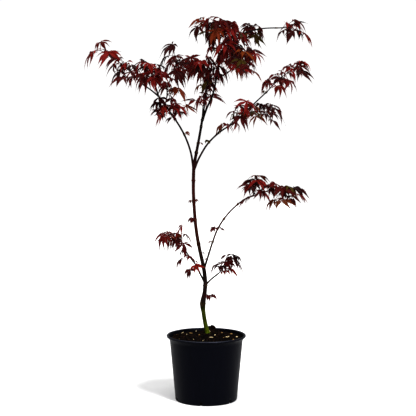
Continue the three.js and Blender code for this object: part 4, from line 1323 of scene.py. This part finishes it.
def make_bed():
    """The compost's body, with a rough surface."""
    wall = POT_NECK_RADIUS - POT_WALL - BED_GAP
    foot = POT_BASE_RADIUS - POT_WALL - BED_GAP
    floor = POT_FLOOR + BED_GAP
    turns = np.linspace(0, 2 * math.pi, COMPOST_SECTORS, endpoint=False)
    rings = [ring_at(reach, height, turns)
             for reach, height in ((0, floor), (foot, floor), (wall, BED_SIDE_TOP))]
    for share in np.linspace(1, 0, COMPOST_RINGS):
        ring = ring_at((wall + BED_OVERLAP) * share, 0, turns)
        ring[:, 2] = [compost_height(x, y) for x, y, _ in ring]
        rings.append(ring)
    bed = Shape()
    bed.add(np.vstack(rings), ring_faces(len(rings), COMPOST_SECTORS))
    dress(bed.build("compost_bed", crumb_materials(BED_BROWNS)), ["compost"])


def make_crumbs(draw):
    """Bark crumbs over the bed, and more of them on the heap."""
    crumbs = Shape()
    for k in range(CRUMB_COUNT + HEAP_CRUMBS):
        on_heap = k >= CRUMB_COUNT
        if on_heap:
            x, y = (middle + reach * (2 * draw() - 1)
                    for middle, reach in zip(HEAP_AT, HEAP_CRUMB_REACH))
        else:
            reach = CRUMB_REACH * math.sqrt(draw())
            turn = 2 * math.pi * draw()
            x, y = reach * math.cos(turn), reach * math.sin(turn)
        size = CRUMB_SIZE + CRUMB_GROWTH * draw() ** 2
        lift = HEAP_LIFT * draw() if on_heap else 0
        points, faces = crumb(draw, size * CRUMB_LENGTH, size, size * CRUMB_HEIGHT)
        points = tumbled(points, draw() * CRUMB_TURN, (draw() - 0.5) * CRUMB_TILT,
                         (draw() - 0.5) * CRUMB_TILT)
        z = compost_height(x, y) + size * CRUMB_STAND + lift
        crumbs.add(points + vector(x, y, z), faces, int(draw() * len(CRUMB_BROWNS)))
    dress(crumbs.build("compost_crumbs", crumb_materials(CRUMB_BROWNS)), [])


def make_chips(draw):
    """Pale chips among the crumbs."""
    chips = Shape()
    for x, y, length, width, turn in PALE_CHIPS:
        points, faces = crumb(draw, length, width * CHIP_SLIM, CHIP_THICKNESS)
        points = tumbled(points, turn, (draw() - 0.5) * CHIP_TILT, (draw() - 0.5) * CHIP_LEAN)
        place = vector(x, y, compost_height(x, y) + CHIP_STAND)
        chips.add(points + place, faces, int(draw() * len(CHIP_BROWNS)))
    dress(chips.build("compost_chips", crumb_materials(CHIP_BROWNS)), [])


def make_surroundings():
    """White walls all round up to a soft edge, and a dimmer ceiling over them."""
    world = bpy.data.worlds.new("studio")
    world.use_nodes = True
    tree = world.node_tree
    background = tree.nodes["Background"]
    background.inputs["Color"].default_value = (1, 1, 1, 1)
    light = add_node(tree, "MapRange", "Result", {
        "Value": add_height(tree, "Generated"), "From Min": WALL_TOP, "From Max": CEILING_START,
        "To Min": WALL_LIGHT, "To Max": CEILING_LIGHT})
    tree.links.new(light, background.inputs["Strength"])
    return world


def make_studio():
    """A plain pale floor, soft light from above and in front, and the camera."""
    scene = bpy.context.scene
    scene.world = make_surroundings()
    floor = Shape()
    half = FLOOR_HALF
    floor.add([(-half, -half, 0), (half, -half, 0), (half, half, 0), (-half, half, 0)],
              [(0, 1, 2, 3)])
    floor.build("floor", [Surface("floor_paper", (0.8, 0.8, 0.8), 0.9, 0.1).material])
    for name, place, softness, power in LIGHTS:
        light = bpy.data.lights.new(name, "SUN")
        light.angle = math.radians(softness)
        light.energy = power
        lamp = bpy.data.objects.new(name, light)
        lamp.location = place
        aim = Vector(LIGHTS_AIM) - Vector(place)
        lamp.rotation_euler = aim.to_track_quat("-Z", "Y").to_euler()
        scene.collection.objects.link(lamp)
    camera = bpy.data.cameras.new("camera")
    camera.sensor_width = SENSOR_WIDTH
    camera.lens = CAMERA_LENS
    holder = bpy.data.objects.new("camera", camera)
    holder.location = CAMERA_AT
    holder.rotation_euler = (math.radians(90 - CAMERA_TILT), 0, 0)
    scene.collection.objects.link(holder)
    scene.camera = holder
    scene.view_settings.view_transform = "Standard"
    scene.view_settings.gamma = PHOTO_GAMMA


limbs = build_limbs()
room = Room(limbs)
growths = []
for index, mass in enumerate(MASSES):
    growth = Growth(mass, index, limbs, room)
    growth.grow()
    growths.append(growth)
for growth in growths:
    grow_finer(growth)

make_studio()
make_pot()
make_bed()
crumb_draw = seeded(CRUMB_SEED)
make_crumbs(crumb_draw)
make_chips(crumb_draw)
make_limbs(limbs)
make_twigs(growths)
make_leaves(growths, grow_sprouts(limbs))
make_buds(limbs)
